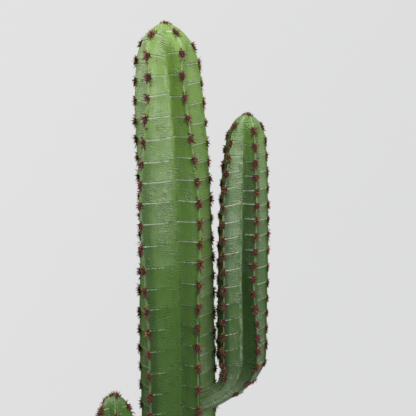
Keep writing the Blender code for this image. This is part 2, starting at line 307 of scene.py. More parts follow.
@dataclass(frozen=True)
class SkinFinish(Finish):
    """Moulded green skin with dry brushing along its ribs and grooves, and painted light: painted shade on shaded
    flanks and in the grooves, painted sheen on the flanks and painted highlights on the crests.
    """

    effects: Effects
    # Greens of the paint from tip to foot; the darker ones also serve as painted shade.
    tip_green: Colour = (0.260, 0.430, 0.058, 1.0)
    high_green: Colour = (0.200, 0.360, 0.050, 1.0)
    middle_green: Colour = (0.110, 0.225, 0.033, 1.0)
    low_green: Colour = (0.066, 0.146, 0.025, 1.0)
    deep_green: Colour = (0.048, 0.104, 0.022, 1.0)
    shadow_green: Colour = (0.026, 0.062, 0.012, 1.0)
    # Pale green for dry brushing, which also stands for a painted sheen.
    brush_and_sheen_white: Colour = (0.380, 0.470, 0.310, 1.0)
    lip_white: Colour = (0.560, 0.660, 0.480, 1.0)
    # Painted highlight along the crests.
    crest_highlight: Colour = (0.220, 0.400, 0.090, 1.0)

    def material(self) -> bpy.types.Material:
        """Builds the skin's material."""
        made, graph, shader = self.start()
        place = graph.attribute("section", "Vector")
        near = graph.sum("ABSOLUTE", graph.attribute("swing"))
        groove = graph.attribute("groove")
        lip = graph.attribute("lip")
        tone = graph.attribute("tone")
        # Greens by the shade mark: lighter at the tips and darker down each limb and on shaded flanks, partly the
        # paint's own fade and partly painted shade.
        greens = graph.ramp(
            graph.attribute("shade"),
            (
                (0.0, self.tip_green),
                (0.12, self.high_green),
                (0.30, self.middle_green),
                (0.50, self.low_green),
                (0.80, self.deep_green),
                (1.0, self.shadow_green),
            ),
        )
        streaks = graph.cloud(graph.stretch(place, (380, 380, 30)), 1.0, 4.0, 0.6)
        wrinkles = graph.cloud(graph.stretch(place, (70, 70, 420)), 1.0, 3.0, 0.6)
        strokes = graph.cloud(graph.stretch(place, (330, 330, 120)), 1.0, 5.0, 0.7)
        patches = graph.cloud(graph.stretch(place, (60, 60, 40)), 1.0, 2.0)
        swirls = graph.add(
            "ShaderNodeTexWave",
            {"Vector": place, "Scale": 95.0, "Distortion": 16.0, "Detail": 2.0, "Detail Scale": 0.8},
            bands_direction="Z",
        )
        grain = graph.add("ShaderNodeGroup", {"Vector": place, "Fine": 700.0, "Slow": 45.0}, node_tree=self.effects.grain)

        uneven = graph.sum("ADD", graph.times(graph.rise(streaks, 0.40, 0.75), 0.18), graph.times(grain.outputs["Shade"], 0.10))
        shaded = graph.blend(uneven, greens, self.shadow_green)
        # Dry brushing on the flanks together with painted sheen: pale strokes, pale wrinkles, pale whorls for glints on
        # the swirled relief, and an even pale veil.
        flank = graph.times(graph.rise(near, 0.12, 0.40), graph.rise(near, 0.80, 1.0, 1.0, 0.4))
        dry_brush_and_sheen = graph.times(flank, graph.rise(strokes, 0.40, 0.70), graph.rise(patches, 0.30, 0.70, 0.3, 1.0))
        # Painted sheen: a pale line on the flank beside the valley.
        valley_sheen_mark = graph.attribute("fold")
        valley_sheen_reach = graph.sum("ADD", near, graph.times(valley_sheen_mark, 0.035))
        fold = graph.times(graph.rise(valley_sheen_reach, 0.95, 1.0), graph.rise(near, 0.975, 1.0, 1.0, 0.0), graph.rise(strokes, 0.38, 0.58))
        fold = graph.times(fold, graph.rise(valley_sheen_mark, 0.0, 1.0, 0.0, 0.45))
        wrinkle_sheen = graph.times(graph.rise(wrinkles, 0.50, 0.62), graph.rise(near, 0.40, 0.75), graph.rise(patches, 0.40, 0.58))
        dry_brush_and_sheen = graph.sum("ADD", graph.times(dry_brush_and_sheen, 0.26), graph.times(wrinkle_sheen, 0.30))
        whorl_highlights = graph.times(graph.rise(swirls, 0.60, 0.90), graph.rise(patches, 0.50, 0.62), graph.rise(near, 0.2, 0.4), 0.20)
        dry_brush_and_sheen = graph.sum("ADD", dry_brush_and_sheen, graph.sum("ADD", whorl_highlights, graph.times(flank, 0.15)))
        dry_brush_and_sheen = graph.times(dry_brush_and_sheen, tone)
        dry_brush_and_sheen = graph.sum("MAXIMUM", dry_brush_and_sheen, fold)
        dry_brush_and_sheen_green = graph.blend(dry_brush_and_sheen, shaded, self.brush_and_sheen_white)
        gloss = graph.attribute("gloss")
        # Painted highlight: a light line along each crest, weaker where the skin is less glossy.
        crest = graph.times(graph.rise(near, 0.01, 0.045, 1.0, 0.0), graph.rise(strokes, 0.35, 0.6, 0.15, 0.75))
        crest = graph.times(crest, graph.rise(gloss, 0.0, 1.0, 0.3, 1.0))
        crest_highlighted = graph.blend(crest, dry_brush_and_sheen_green, self.crest_highlight)
        # Painted highlight: a pale band just off the crest, on flanks with an edge value.
        edge = graph.times(graph.rise(near, 0.0, 0.02), graph.rise(near, 0.07, 0.10, 1.0, 0.0), graph.attribute("edge"))
        crest_edge_highlighted = graph.blend(graph.times(edge, graph.rise(strokes, 0.34, 0.55, 0.35, 0.9)), crest_highlighted, self.lip_white)
        ragged = graph.sum("ADD", lip, graph.times(graph.sum("SUBTRACT", strokes, 0.5), 1.4))
        ragged = graph.times(graph.rise(ragged, 0.22, 0.62), graph.rise(near, 0.15, 0.50, 1.0, 0.78), graph.rise(lip, 0.02, 0.2))
        lipped = graph.blend(ragged, crest_edge_highlighted, self.lip_white)
        # Painted shade: each groove is darkened towards shadow_green.
        groove_shaded = graph.blend(graph.times(groove, 0.25), lipped, self.shadow_green)
        graph.feed(shader.inputs["Base Color"], groove_shaded)

        rough = graph.rise(strokes, 0.3, 0.7, self.roughness - 0.06, self.roughness + 0.12)
        graph.feed(shader.inputs["Roughness"], rough)
        graph.feed(shader.inputs["Specular IOR Level"], graph.times(gloss, 0.6))
        folded = graph.times(graph.rise(patches, 0.40, 0.62, 0.35, 1.3), graph.rise(gloss, 0.2, 1.0, 0.12, 0.8))
        swirled = graph.times(graph.sum("SUBTRACT", swirls, 0.5), graph.rise(patches, 0.48, 0.64), 1.3)
        wrinkled = graph.times(graph.sum("SUBTRACT", wrinkles, 0.5), folded, 1.5)
        height = graph.sum("ADD", graph.times(streaks, 0.6), wrinkled)
        height = graph.sum("ADD", height, graph.sum("ADD", swirled, graph.times(grain.outputs["Height"], 0.4)))
        bump = graph.add("ShaderNodeBump", {"Strength": 0.8, "Distance": 0.0009, "Height": height})
        graph.feed(shader.inputs["Normal"], bump)
        return made


@dataclass(frozen=True)
class PlainFinish(Finish):
    """One even colour, for small things that are dealt out by colour."""

    colour: Colour

    def material(self) -> bpy.types.Material:
        """Builds the plain material."""
        made, _, shader = self.start()
        shader.inputs["Base Color"].default_value = self.colour
        return made


@dataclass(frozen=True)
class PotFinish(Finish):
    """Matte charcoal plastic, with worn rim edges, faint scuffs and dust."""

    effects: Effects
    rim_edges: tuple[float, ...]
    charcoal: Colour = (0.026, 0.027, 0.029, 1.0)
    scuffed: Colour = (0.060, 0.061, 0.063, 1.0)
    dusty: Colour = (0.210, 0.200, 0.180, 1.0)

    def material(self) -> bpy.types.Material:
        """Builds the pot's material."""
        made, graph, shader = self.start()
        place = graph.add("ShaderNodeTexCoord").outputs["Object"]
        height = graph.add("ShaderNodeSeparateXYZ", {0: place}).outputs["Z"]
        grain = graph.add("ShaderNodeGroup", {"Vector": place, "Fine": 1500.0, "Slow": 28.0}, node_tree=self.effects.grain)
        dust = graph.add("ShaderNodeGroup", {"Vector": place, "Scale": 220.0}, node_tree=self.effects.dust)
        scuffs = graph.cloud(graph.stretch(place, (300, 300, 60)), 1.0, 5.0, 0.7)
        wear: Any = 0.0
        for edge in self.rim_edges:
            near = graph.sum("ABSOLUTE", graph.sum("SUBTRACT", height, edge))
            wear = graph.sum("ADD", wear, graph.rise(near, 0.0004, 0.0022, 1.0, 0.0))
        worn = graph.times(wear, graph.rise(scuffs, 0.45, 0.62, 0.05, 0.75))
        shade = graph.blend(graph.times(grain.outputs["Shade"], 0.35), self.charcoal, self.scuffed)
        scuffed = graph.blend(worn, shade, self.scuffed)
        dusted = graph.blend(graph.times(dust.outputs["Mask"], 0.5), scuffed, self.dusty)
        graph.feed(shader.inputs["Base Color"], dusted)
        graph.feed(shader.inputs["Roughness"], graph.rise(scuffs, 0.3, 0.7, self.roughness - 0.08, self.roughness + 0.1))
        bump = graph.add("ShaderNodeBump", {"Strength": 0.35, "Distance": 0.0002, "Height": grain.outputs["Height"]})
        graph.feed(shader.inputs["Normal"], bump)
        return made


@dataclass(frozen=True)
class SoilFinish(Finish):
    """Dark cast filling under the gravel."""

    effects: Effects
    dark: Colour = (0.030, 0.021, 0.014, 1.0)
    light: Colour = (0.105, 0.078, 0.055, 1.0)
    dusty: Colour = (0.230, 0.205, 0.170, 1.0)

    def material(self) -> bpy.types.Material:
        """Builds the filling's material."""
        made, graph, shader = self.start()
        place = graph.add("ShaderNodeTexCoord").outputs["Object"]
        grain = graph.add("ShaderNodeGroup", {"Vector": place, "Fine": 900.0, "Slow": 160.0}, node_tree=self.effects.grain)
        dust = graph.add("ShaderNodeGroup", {"Vector": place, "Scale": 300.0}, node_tree=self.effects.dust)
        crumbs = graph.blend(grain.outputs["Shade"], self.dark, self.light)
        graph.feed(shader.inputs["Base Color"], graph.blend(graph.times(dust.outputs["Mask"], 0.35), crumbs, self.dusty))
        bump = graph.add("ShaderNodeBump", {"Strength": 0.8, "Distance": 0.0008, "Height": grain.outputs["Height"]})
        graph.feed(shader.inputs["Normal"], bump)
        return made


@dataclass(frozen=True)
class Flank:
    """One side of a rib: how far its grooves rise towards the valley, and its paint with painted light: its shade
    values and band are painted shade (negative values are painted light), its dry-brushing amounts also carry a painted
    sheen, its edge is a painted highlight beside the crest, and its valley line is a painted sheen.
    """

    lift: float = 0.002
    tip_lift: float = 0.002
    low_reach: float = 1.0
    low_line: float = 0.8
    # Dry brushing together with a painted sheen, near the tip and low down.
    brush: float = 0.8
    low_brush_and_sheen: float = 0.3
    # Painted highlight beside the crest.
    edge: float = 0.2
    # Painted sheen beside the valley.
    fold: float = 0.3
    # Painted shade: shade and low_shade darken the flank where shade falls, and band darkens a strip beside the crest;
    # negative values paint light.
    shade: float = 0.0
    low_shade: float = 0.0
    band: float = 0.0


@dataclass(frozen=True)
class Limb:
    """An upright ribbed column with a domed tip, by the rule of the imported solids."""

    name: str
    tip_height: float
    length: float
    dome_radius: float
    dome_height: float
    swell: float
    swell_start: float
    swell_run: float
    foot_taper: float
    stations: tuple[float, ...]
    rib_angles: tuple[tuple[float, ...], ...]
    valley_turns: tuple[float, ...]
    first_areoles: tuple[float, ...]
    pitches: tuple[float, ...]
    flanks: tuple[tuple[Flank, Flank], ...]
    brush_fade: tuple[float, float]
    low_range: tuple[float, float]
    # Green by depth: shade_start and shade_gain darken it down the limb, partly the paint's own fade and partly painted
    # shade.
    shade_start: float
    shade_gain: float
    faint_until: float
    # Depth where the painted sheen beside the valley ends.
    fold_until: float
    tuft_size: float

    def end(self) -> float:
        """Depth where the skin ends: at the flat foot."""
        return self.length

    def bare_depth(self) -> float:
        """Depth below which the limb has no tufts."""
        return self.length

    def frame(self, depth: np.ndarray) -> tuple[np.ndarray, np.ndarray, np.ndarray]:
        """Centre of the section at each depth, and its side and front vectors."""
        share = 1 - depth / self.length
        shift = STEM_TIP_SHIFT * share + STEM_BOW * np.sin(math.pi * share)
        centre = np.stack((shift, 0 * depth, self.tip_height - depth), axis=-1)
        return centre, np.broadcast_to((1.0, 0.0, 0.0), centre.shape), np.broadcast_to((0.0, -1.0, 0.0), centre.shape)

    def bend(self, depth: np.ndarray) -> np.ndarray:
        """Share of the change from the limb's own paint to its elbow's."""
        return 0 * depth

    def radius(self, depth: np.ndarray) -> np.ndarray:
        """Radius over the crests."""
        share = np.minimum(1.0, depth / self.dome_height)
        dome = self.dome_radius * (1 - (1 - share) ** 2) ** DOME_POWER
        run = np.maximum(0.0, depth - self.swell_start)
        swell = self.swell * (1 - np.exp(-run / self.swell_run))
        return dome + swell - self.foot_taper * smoothstep(TAPER_START * self.length, self.length, depth)

    def ratio(self, depth: np.ndarray) -> np.ndarray:
        """Valley radius as a share of the crest's: the ribs grow out of the round tip."""
        return 1 - (1 - VALLEY_RATIO) * smoothstep(0.0, RIBS_FULL * self.dome_height, depth)

    def angle(self, rib: int, depth: np.ndarray) -> np.ndarray:
        """Azimuth of a rib, eased from each station to the next; a rib past the last starts again."""
        values = self.rib_angles[rib % len(self.rib_angles)]
        found = values[0] + 360.0 * (rib // len(self.rib_angles)) + 0 * depth
        for i in range(1, len(values)):
            found = found + (values[i] - values[i - 1]) * smoothstep(self.stations[i - 1], self.stations[i], depth)
        return found

    def valley(self, rib: int, depth: np.ndarray) -> np.ndarray:
        """Azimuth of the valley after a rib: midway to the next, and turned below the tip."""
        turn = self.valley_turns[rib % len(self.valley_turns)]
        middle = (self.angle(rib, depth) + self.angle(rib + 1, depth)) / 2
        return middle + turn * smoothstep(0.0, VALLEY_TURN_RUN, depth)

    def areoles(self, rib: int) -> np.ndarray:
        """Depths of a rib's areoles, about a pitch apart."""
        per_rib, per_areole = WOBBLE_TURNS
        margin = 2 * AREOLE_HALF
        last = self.bare_depth()
        number = np.arange(math.ceil((last - self.first_areoles[rib]) / self.pitches[rib]))
        wobble = AREOLE_WOBBLE * np.sin(per_rib * rib + per_areole * number)
        found = self.first_areoles[rib] + number * self.pitches[rib] + wobble
        return found[(found > margin) & (found < last - margin)]

    def section(self, rib: int, depth: np.ndarray, swing: np.ndarray) -> np.ndarray:
        """Points of the rib's section, as (to the side, to the front) of the centre.

        Args:
            rib: Number of the rib.
            depth: Depth of each point.
            swing: Swing of each point, of the same shape.

        Returns:
            The points, with one more axis of two numbers.
        """
        radius = self.radius(depth)
        valley_radius = radius * self.ratio(depth)
        sides = (self.valley(rib - 1, depth), self.valley(rib, depth))
        beside = np.where(swing < 0, self.angle(rib - 1, depth), self.angle(rib + 1, depth))
        crest = polar(self.angle(rib, depth), radius)
        valley = polar(np.where(swing < 0, *sides), valley_radius)
        crest_edge = between(crest, valley, CREST_ROUNDING)
        valley_edge = between(valley, crest, VALLEY_ROUNDING)
        far_crest_edge = between(crest, polar(np.where(swing < 0, *sides[::-1]), valley_radius), CREST_ROUNDING)
        far_valley_edge = between(valley, polar(beside, radius), VALLEY_ROUNDING)
        near = np.abs(swing)[..., None]
        on_crest = quadratic(far_crest_edge, crest, crest_edge, 0.5 + 0.5 * near / CREST_END)
        share = np.clip((near - CREST_END) / (VALLEY_START - CREST_END), 0.0, 1.0)
        bulge = FLANK_BULGE + TIP_BULGE * smoothstep(VALLEY_RATIO, 1.0, self.ratio(depth))[..., None]
        on_flank = between(crest_edge, valley_edge, share) * (1 + bulge * np.sin(math.pi * share) ** 2)
        in_valley = quadratic(valley_edge, valley, far_valley_edge, 0.5 * (near - VALLEY_START) / (1 - VALLEY_START))
        return np.where(near < CREST_END, on_crest, np.where(near < VALLEY_START, on_flank, in_valley))

    def surface(self, rib: int, depth: np.ndarray, swing: np.ndarray) -> tuple[np.ndarray, np.ndarray]:
        """Plain surface without its relief.

        Args:
            rib: Number of the rib.
            depth: Depth of each point.
            swing: Swing of each point.

        Returns:
            The points in space, and their section points.
        """
        centre, side, front = self.frame(depth)
        flat = self.section(rib, depth, swing)
        return centre + side * flat[..., :1] + front * flat[..., 1:], flat


@dataclass(frozen=True)
class Arm(Limb):
    """A column that stands on an elbow, which leaves the main stem in a valley."""

    azimuth: float
    offset: float
    root_height: float
    tilt: float
    root_reach: float

    def out(self) -> np.ndarray:
        """Level vector from the stem's centre line to the arm's."""
        return np.append(polar(np.array(self.azimuth), self.offset), 0.0) * (1, -1, 1)

    def foot(self) -> np.ndarray:
        """Centre of the level joint between the upright part and the elbow."""
        stem_depth = np.array(MAIN.tip_height - self.tip_height + self.length)
        return MAIN.frame(stem_depth)[0] + self.out()

    def controls(self) -> tuple[np.ndarray, ...]:
        """Control points of the elbow's curve, from the joint down into the stem."""
        foot = self.foot()
        below = foot - (0, 0, ELBOW_DROP)
        reach = foot - self.out() * (1 - ELBOW_REACH)
        start = foot - self.out() * (1 - ELBOW_START)
        reach[2] = self.root_height + ELBOW_RISE
        start[2] = self.root_height
        return foot, below, reach, start

    def elbow_length(self) -> float:
        """Length of the elbow, taken as the mean of its chord and its control lines."""
        points = self.controls()
        lines = sum(np.linalg.norm(b - a) for a, b in zip(points, points[1:]))
        return float(lines + np.linalg.norm(points[-1] - points[0])) / 2

    def bare_depth(self) -> float:
        """Depth below which the limb has no tufts: its neck is smooth."""
        return self.length + BARE_NECK_START * self.elbow_length()

    def end(self) -> float:
        """Depth where the skin ends: just inside the stem."""
        depths = np.linspace(self.length, self.length + self.elbow_length(), 200)
        to_axis = np.linalg.norm((self.frame(depths)[0] - self.foot() + self.out())[:, :2], axis=-1)
        return float(depths[to_axis > self.root_reach][-1])

    def turned(self, depth: np.ndarray) -> np.ndarray:
        """Share of the elbow's curve, and 0 on the upright part."""
        return np.maximum(0.0, depth - self.length) / self.elbow_length()

    def bend(self, depth: np.ndarray) -> np.ndarray:
        """Share of the change from the arm's own paint to its elbow's."""
        return smoothstep(0.05, 0.5, self.turned(depth))

    def frame(self, depth: np.ndarray) -> tuple[np.ndarray, np.ndarray, np.ndarray]:
        """Centre of the section, and its side and front vectors, square to the elbow."""
        a, b, c, d = self.controls()
        t = self.turned(depth)[..., None]
        u = 1 - t
        upright = np.maximum(0.0, self.length - depth)
        lean = self.tilt * (upright / self.length) ** 2
        centre = a * u**3 + b * 3 * u * u * t + c * 3 * u * t * t + d * t**3
        centre = centre + np.stack((lean, 0 * lean, upright), axis=-1)
        x, y, z = np.moveaxis(-unit((b - a) * u * u + (c - b) * 2 * u * t + (d - c) * t * t), -1, 0)
        side = np.stack((1 - x * x / (1 + z), -x * y / (1 + z), -x), axis=-1)
        front = np.stack((x * y / (1 + z), y * y / (1 + z) - 1, y), axis=-1)
        return centre, side, front

    def radius(self, depth: np.ndarray) -> np.ndarray:
        """Radius over the crests, narrowing along the elbow to its neck."""
        upright = super().radius(np.minimum(depth, self.length))
        return upright + (NECK_RADIUS - upright) * smoothstep(0.0, NECK_START, self.turned(depth))

    def ratio(self, depth: np.ndarray) -> np.ndarray:
        """Valley ratio, fading along the elbow to an almost round neck."""
        upright = super().ratio(np.minimum(depth, self.length))
        return upright + (NECK_ROUNDNESS - upright) * smoothstep(0.0, FLUTES_END, self.turned(depth))


MAIN = Limb(
    name="main",
    tip_height=1.080,
    length=0.950,
    dome_radius=0.0518,
    dome_height=0.064,
    swell=0.0145,
    swell_start=0.048,
    swell_run=0.112,
    foot_taper=0.006,
    stations=(0.02, 0.08, 0.30, 0.52, 0.95),
    rib_angles=(
        (-110, -110, -123, -113, -112),
        (-40, -31, -52, -41, -42),
        (37, 27, 44, 33, 33),
        (106, 106, 105, 106, 104),
        (178, 178, 178, 178, 176),
    ),
    valley_turns=(0, 14, 0, 0, 0),
    first_areoles=(0.031, 0.020, 0.0185, 0.036, 0.027),
    pitches=(0.0310, 0.0335, 0.0329, 0.0308, 0.0320),
    # Flank paint per rib, before and after its crest, with its painted shade, painted sheen and painted highlights.
    flanks=(
        (Flank(), Flank(-0.003, -0.002, brush=0.1, shade=-0.02, low_shade=-0.05)),
        (
            Flank(edge=0.4),
            Flank(
                0.005, -0.006, low_reach=0.65, low_line=0.45, brush=1.5, low_brush_and_sheen=0.15, fold=0.8, shade=0.01, low_shade=0.0, band=0.34
            ),
        ),
        (
            Flank(0.001, -0.001, low_line=0.5, brush=0.25, low_brush_and_sheen=0.25, fold=0.0, shade=0.05, low_shade=0.06),
            Flank(edge=1.0),
        ),
        (Flank(-0.005, -0.004, low_line=1.2, brush=1.0, low_brush_and_sheen=1.8, fold=0.0, shade=0.03, low_shade=-0.22), Flank()),
        (Flank(), Flank()),
    ),
    brush_fade=(0.24, 0.44),
    low_range=(0.10, 0.45),
    shade_start=0.0,
    shade_gain=1.0,
    faint_until=0.001,
    fold_until=0.22,
    tuft_size=1.08,
)
RIGHT = Arm(
    name="right",
    tip_height=0.9373,
    length=0.3805,
    dome_radius=0.0308,
    dome_height=0.0384,
    swell=0.0122,
    swell_start=0.0288,
    swell_run=0.072,
    foot_taper=0.0006,
    stations=(0.05, 0.15, 0.26, 0.36),
    rib_angles=(
        (-110, -112, -114, -112),
        (-48, -55, -46, -46),
        (24, 29, 24, 36),
        (106, 105, 104, 108),
        (178, 177, 176, 178),
    ),
    valley_turns=(0, 8, 0, 0, 0),
    first_areoles=(0.034, 0.0186, 0.0296, 0.018, 0.025),
    pitches=(0.0255, 0.0255, 0.0228, 0.0250, 0.0240),
    # Flank paint per rib, before and after its crest, with its painted shade, painted sheen and painted highlights.
    flanks=(
        (Flank(), Flank(-0.002, -0.002)),
        (Flank(), Flank(0.006, 0.001, low_line=0.45, brush=1.4, low_brush_and_sheen=0.6, fold=1.2, low_shade=0.0, band=0.30)),
        (Flank(0.000, 0.000, low_reach=0.4, low_line=0.3, brush=0.1, low_brush_and_sheen=0.1, fold=0.0, low_shade=0.36), Flank(edge=1.0)),
        (Flank(-0.003, -0.003, brush=1.8, low_brush_and_sheen=1.2, fold=0.0, shade=-0.08), Flank()),
        (Flank(), Flank()),
    ),
    brush_fade=(0.14, 0.34),
    low_range=(0.03, 0.16),
    shade_start=0.21,
    shade_gain=1.6,
    faint_until=0.16,
    fold_until=0.60,
    tuft_size=0.86,
    azimuth=72.0,
    offset=0.1105,
    root_height=0.466,
    tilt=0.007,
    root_reach=0.034,
)
LEFT = Arm(
    name="left",
    tip_height=0.488,
    length=0.188,
    dome_radius=0.0296,
    dome_height=0.0400,
    swell=0.0090,
    swell_start=0.0290,
    swell_run=0.060,
    foot_taper=0.0020,
    stations=(0.02, 0.18),
    rib_angles=((-118, -112), (-50, -42), (4, 30), (76, 102), (150, 172)),
    valley_turns=(0, 0, 0, 0, 0),
    first_areoles=(0.012, 0.023, 0.034, 0.018, 0.026),
    pitches=(0.0240, 0.0235, 0.0245, 0.0240, 0.0235),
    # Flank paint per rib, before and after its crest, with its painted shade, painted sheen and painted highlights.
    flanks=(
        (Flank(), Flank(-0.002, -0.002)),
        (Flank(edge=0.4), Flank(0.003, 0.001, low_brush_and_sheen=0.2, fold=0.8, band=0.2)),
        (Flank(0.001, 0.001, low_brush_and_sheen=0.2, shade=0.05, low_shade=0.15), Flank(edge=0.6)),
        (Flank(-0.003, -0.003, low_brush_and_sheen=0.6), Flank()),
        (Flank(), Flank()),
    ),
    brush_fade=(0.0, 0.02),
    low_range=(0.03, 0.16),
    shade_start=0.40,
    shade_gain=0.9,
    faint_until=0.03,
    fold_until=0.60,
    tuft_size=1.0,
    azimuth=-77.0,
    offset=0.1018,
    root_height=0.212,
    tilt=-0.002,
    root_reach=0.034,
)

FLANK_BULGE = 0.042
TIP_BULGE = 0.035


@dataclass(frozen=True)
class Relief:
    """Sizes of the grooves between areoles and of the segments between grooves."""

    crease_above: float = 0.0040
    groove_depth: float = 0.0006
    groove_half: float = 0.0007
    lip_height: float = 0.0008
    lip_below: float = 0.0016
    lip_half: float = 0.0011
    pillow: float = 0.0009
    shingle: float = 0.0014
    crest_share: float = 0.55
    fade: tuple[float, float] = (0.88, 1.04)
    tip_fade: tuple[float, float] = (0.006, 0.020)
    foot_fade: float = 0.012
    lump: float = 0.0005
    lump_size: float = 0.020
    dimple: float = 0.00022
    dimple_size: float = 0.005


@dataclass(frozen=True)
class Rows:
    """Spacing of a skin's mesh rows, and its columns from crest to valley."""

    first: float = 0.0007
    dome_rows: int = 14
    dome_crowding: float = 1.7
    coarse: float = 0.0034
    valley: float = 0.0026
    offsets: tuple[float, ...] = (-0.0026, -0.0016, -0.0010, -0.0005, 0.0, 0.0005, 0.0010, 0.0016, 0.0024, 0.0033, 0.0044)
    crest_columns: tuple[float, ...] = (0.0, 0.4, 0.75)
    flank_columns: int = 8
    valley_columns: tuple[float, ...] = (0.0, 0.34, 0.67)

    def swings(self) -> np.ndarray:
        """Swings of a rib's columns, without the two shared valley lines."""
        crest = [CREST_END * share for share in self.crest_columns]
        flank = list(np.linspace(CREST_END, VALLEY_START, self.flank_columns + 1)[:-1])
        valley = [VALLEY_START + (1 - VALLEY_START) * share for share in self.valley_columns]
        half = np.array(crest + flank + valley)
        return np.concatenate((-half[:0:-1], half))

    def even(self, start: float, end: float, spacing: float) -> np.ndarray:
        """Depths from start up to but without end, about a spacing apart."""
        return np.linspace(start, end, max(1, math.ceil((end - start) / spacing)), endpoint=False)

    def dome(self, end: float) -> np.ndarray:
        """Depths from the first row up to but without end, crowded at the tip."""
        share = np.arange(self.dome_rows) / self.dome_rows
        return self.first + (end - self.first) * share**self.dome_crowding

    def depths(self, creases: np.ndarray, end: float) -> np.ndarray:
        """Depths of a rib's rows: close together at each crease, and coarse between."""
        found = [self.dome(creases[0] + self.offsets[0])]
        for crease, following in zip(creases, [*creases[1:], None]):
            found.append(crease + np.array(self.offsets[:-1]))
            stop = end if following is None else following + self.offsets[0]
            found.append(self.even(crease + self.offsets[-1], stop, self.coarse))
        return np.append(np.concatenate(found), end)


@dataclass
class LimbSkin:
    """The moulded skin of one limb: five ribs with a groove above each areole."""

    limb: Limb
    relief: Relief
    rows: Rows
    seed: int

    def creases(self, rib: int) -> np.ndarray:
        """Depths of a rib's grooves on its crest."""
        return self.limb.areoles(rib) - self.relief.crease_above

    def noise(self, places: np.ndarray) -> np.ndarray:
        """Slow lumps and small dimples at section places, in metres."""
        relief = self.relief
        flat = places.reshape(-1, 3)
        lumps = [noise.noise(Vector(place)) for place in flat / relief.lump_size]
        dimples = [noise.noise(Vector(place)) for place in flat / relief.dimple_size]
        height = relief.lump * np.array(lumps) + relief.dimple * np.array(dimples)
        return height.reshape(places.shape[:-1])

    def fade(self, depth: np.ndarray) -> np.ndarray:
        """Share of the relief at a depth: none at the very tip and at the foot."""
        end = self.limb.end()
        foot = 1 - smoothstep(end - self.relief.foot_fade, end, depth)
        return smoothstep(*self.relief.tip_fade, depth) * foot

    def patch(self, rib: int) -> dict[str, np.ndarray]:
        """Points and marks of one rib, row by row and column by column.

        Args:
            rib: Number of the rib.

        Returns:
            The depth, position and section place of each point, and its marks.
        """
        relief = self.relief
        rng = np.random.default_rng((self.seed, rib))
        creases = self.creases(rib)
        crest_depth, swing = np.meshgrid(self.rows.depths(creases, self.limb.end()), self.rows.swings(), indexing="ij")
        near = np.abs(swing)
        after = (swing > 0).astype(int)

        segment = np.searchsorted(creases, crest_depth)
        bounds = np.concatenate(([-1.0], creases, [self.limb.end() + 1.0]))
        below = crest_depth - bounds[segment]
        above = bounds[segment + 1] - crest_depth
        inner = (segment > 0) & (segment < len(creases))
        share = np.where(inner, below / (below + above), 0.5)

        flanks = self.limb.flanks[rib]
        lift = np.array([flank.lift for flank in flanks])[after]
        tip_lift = np.array([flank.tip_lift for flank in flanks])[after]
        lift = between(tip_lift, lift, smoothstep(0.045, 0.12, crest_depth)) * near**1.5
        wander = rng.uniform(-0.0016, 0.0016, (len(creases) + 2, 2))
        wander = between(wander[segment, after], wander[segment + 1, after], share)
        depth = crest_depth - (lift + wander * near**1.5) * self.fade(crest_depth)
        points, flat = self.limb.surface(rib, depth, swing)
        places = np.concatenate((flat, depth[..., None]), axis=-1)

        clear = between(0.35, 1.0, smoothstep(0.0, self.limb.faint_until, crest_depth))
        low_reach = np.array([flank.low_reach for flank in flanks])[after]
        faded = smoothstep(*self.limb.brush_fade, depth)
        short = rng.uniform(-0.10, 0.06, (len(creases) + 1, 2))[segment, after] - (1 - low_reach) * faded
        reach = (1 - smoothstep(*relief.fade, near - short)) * clear
        over_crest = between(relief.crest_share, 1.0, smoothstep(0.0, 0.12, near))
        groove = np.exp(-((np.minimum(below, above) / relief.groove_half) ** 2)) * reach
        low_line = np.array([flank.low_line for flank in flanks])[after]
        bend = self.limb.bend(depth)
        line = between(1.0, low_line, faded) * (1 - bend)
        lip = np.exp(-(((below - relief.lip_below) / relief.lip_half) ** 2)) * reach * line
        tone, tip, lean = np.moveaxis(rng.uniform(0, 1, (len(creases) + 1, 2, 3))[segment, after], -1, 0)
        swell = np.sin(math.pi * share) ** 0.8 * inner
        deep = between(0.15, 1.0, smoothstep(0.08, 0.26, depth))
        height = relief.lip_height * lip * (1.2 - 0.4 * deep) - relief.groove_depth * groove * over_crest * deep
        height += relief.pillow * (0.5 + tip) * swell * np.sin(math.pi * np.clip(near, 0, 1)) ** 0.7
        height += relief.shingle * (0.5 - share) * inner * reach
        height += relief.pillow * (lean - 0.5) * 2 * swell * (near - 0.4) * reach
        height = height * self.fade(depth) + self.noise(places) * smoothstep(0.0, 0.010, depth)
        normal = unit(np.cross(np.gradient(points, axis=1), np.gradient(points, axis=0)))
        # Dry brushing together with painted sheen, by flank and fading low down; the elbow gets more.
        brush = np.array([(flank.brush, flank.low_brush_and_sheen) for flank in flanks])[after]
        tone = (0.4 + 0.6 * tone) * between(brush[..., 0], brush[..., 1], faded)
        tone = between(tone, 1.5, bend)
        gloss = 1 - 0.8 * faded * (1 - bend)
        # Painted shade: each flank adds its own painted shade, including a band beside the crest; negative values paint
        # light.
        shade = np.array([(flank.shade, flank.low_shade, flank.band) for flank in flanks])[after]
        low = smoothstep(*self.limb.low_range, depth)
        painted_own_shade = between(shade[..., 0], shade[..., 1], low) * smoothstep(0.05, 0.2, near)
        painted_own_shade = painted_own_shade + shade[..., 2] * low * (1 - smoothstep(0.22, 0.42, near)) * smoothstep(0.03, 0.08, near)
        shade = self.limb.shade_start + self.limb.shade_gain * depth + painted_own_shade * smoothstep(0.0, 0.03, depth)
        shade = between(shade, 0.60, bend)
        # Painted highlight beside the crest.
        edge = np.array([flank.edge for flank in flanks])[after]
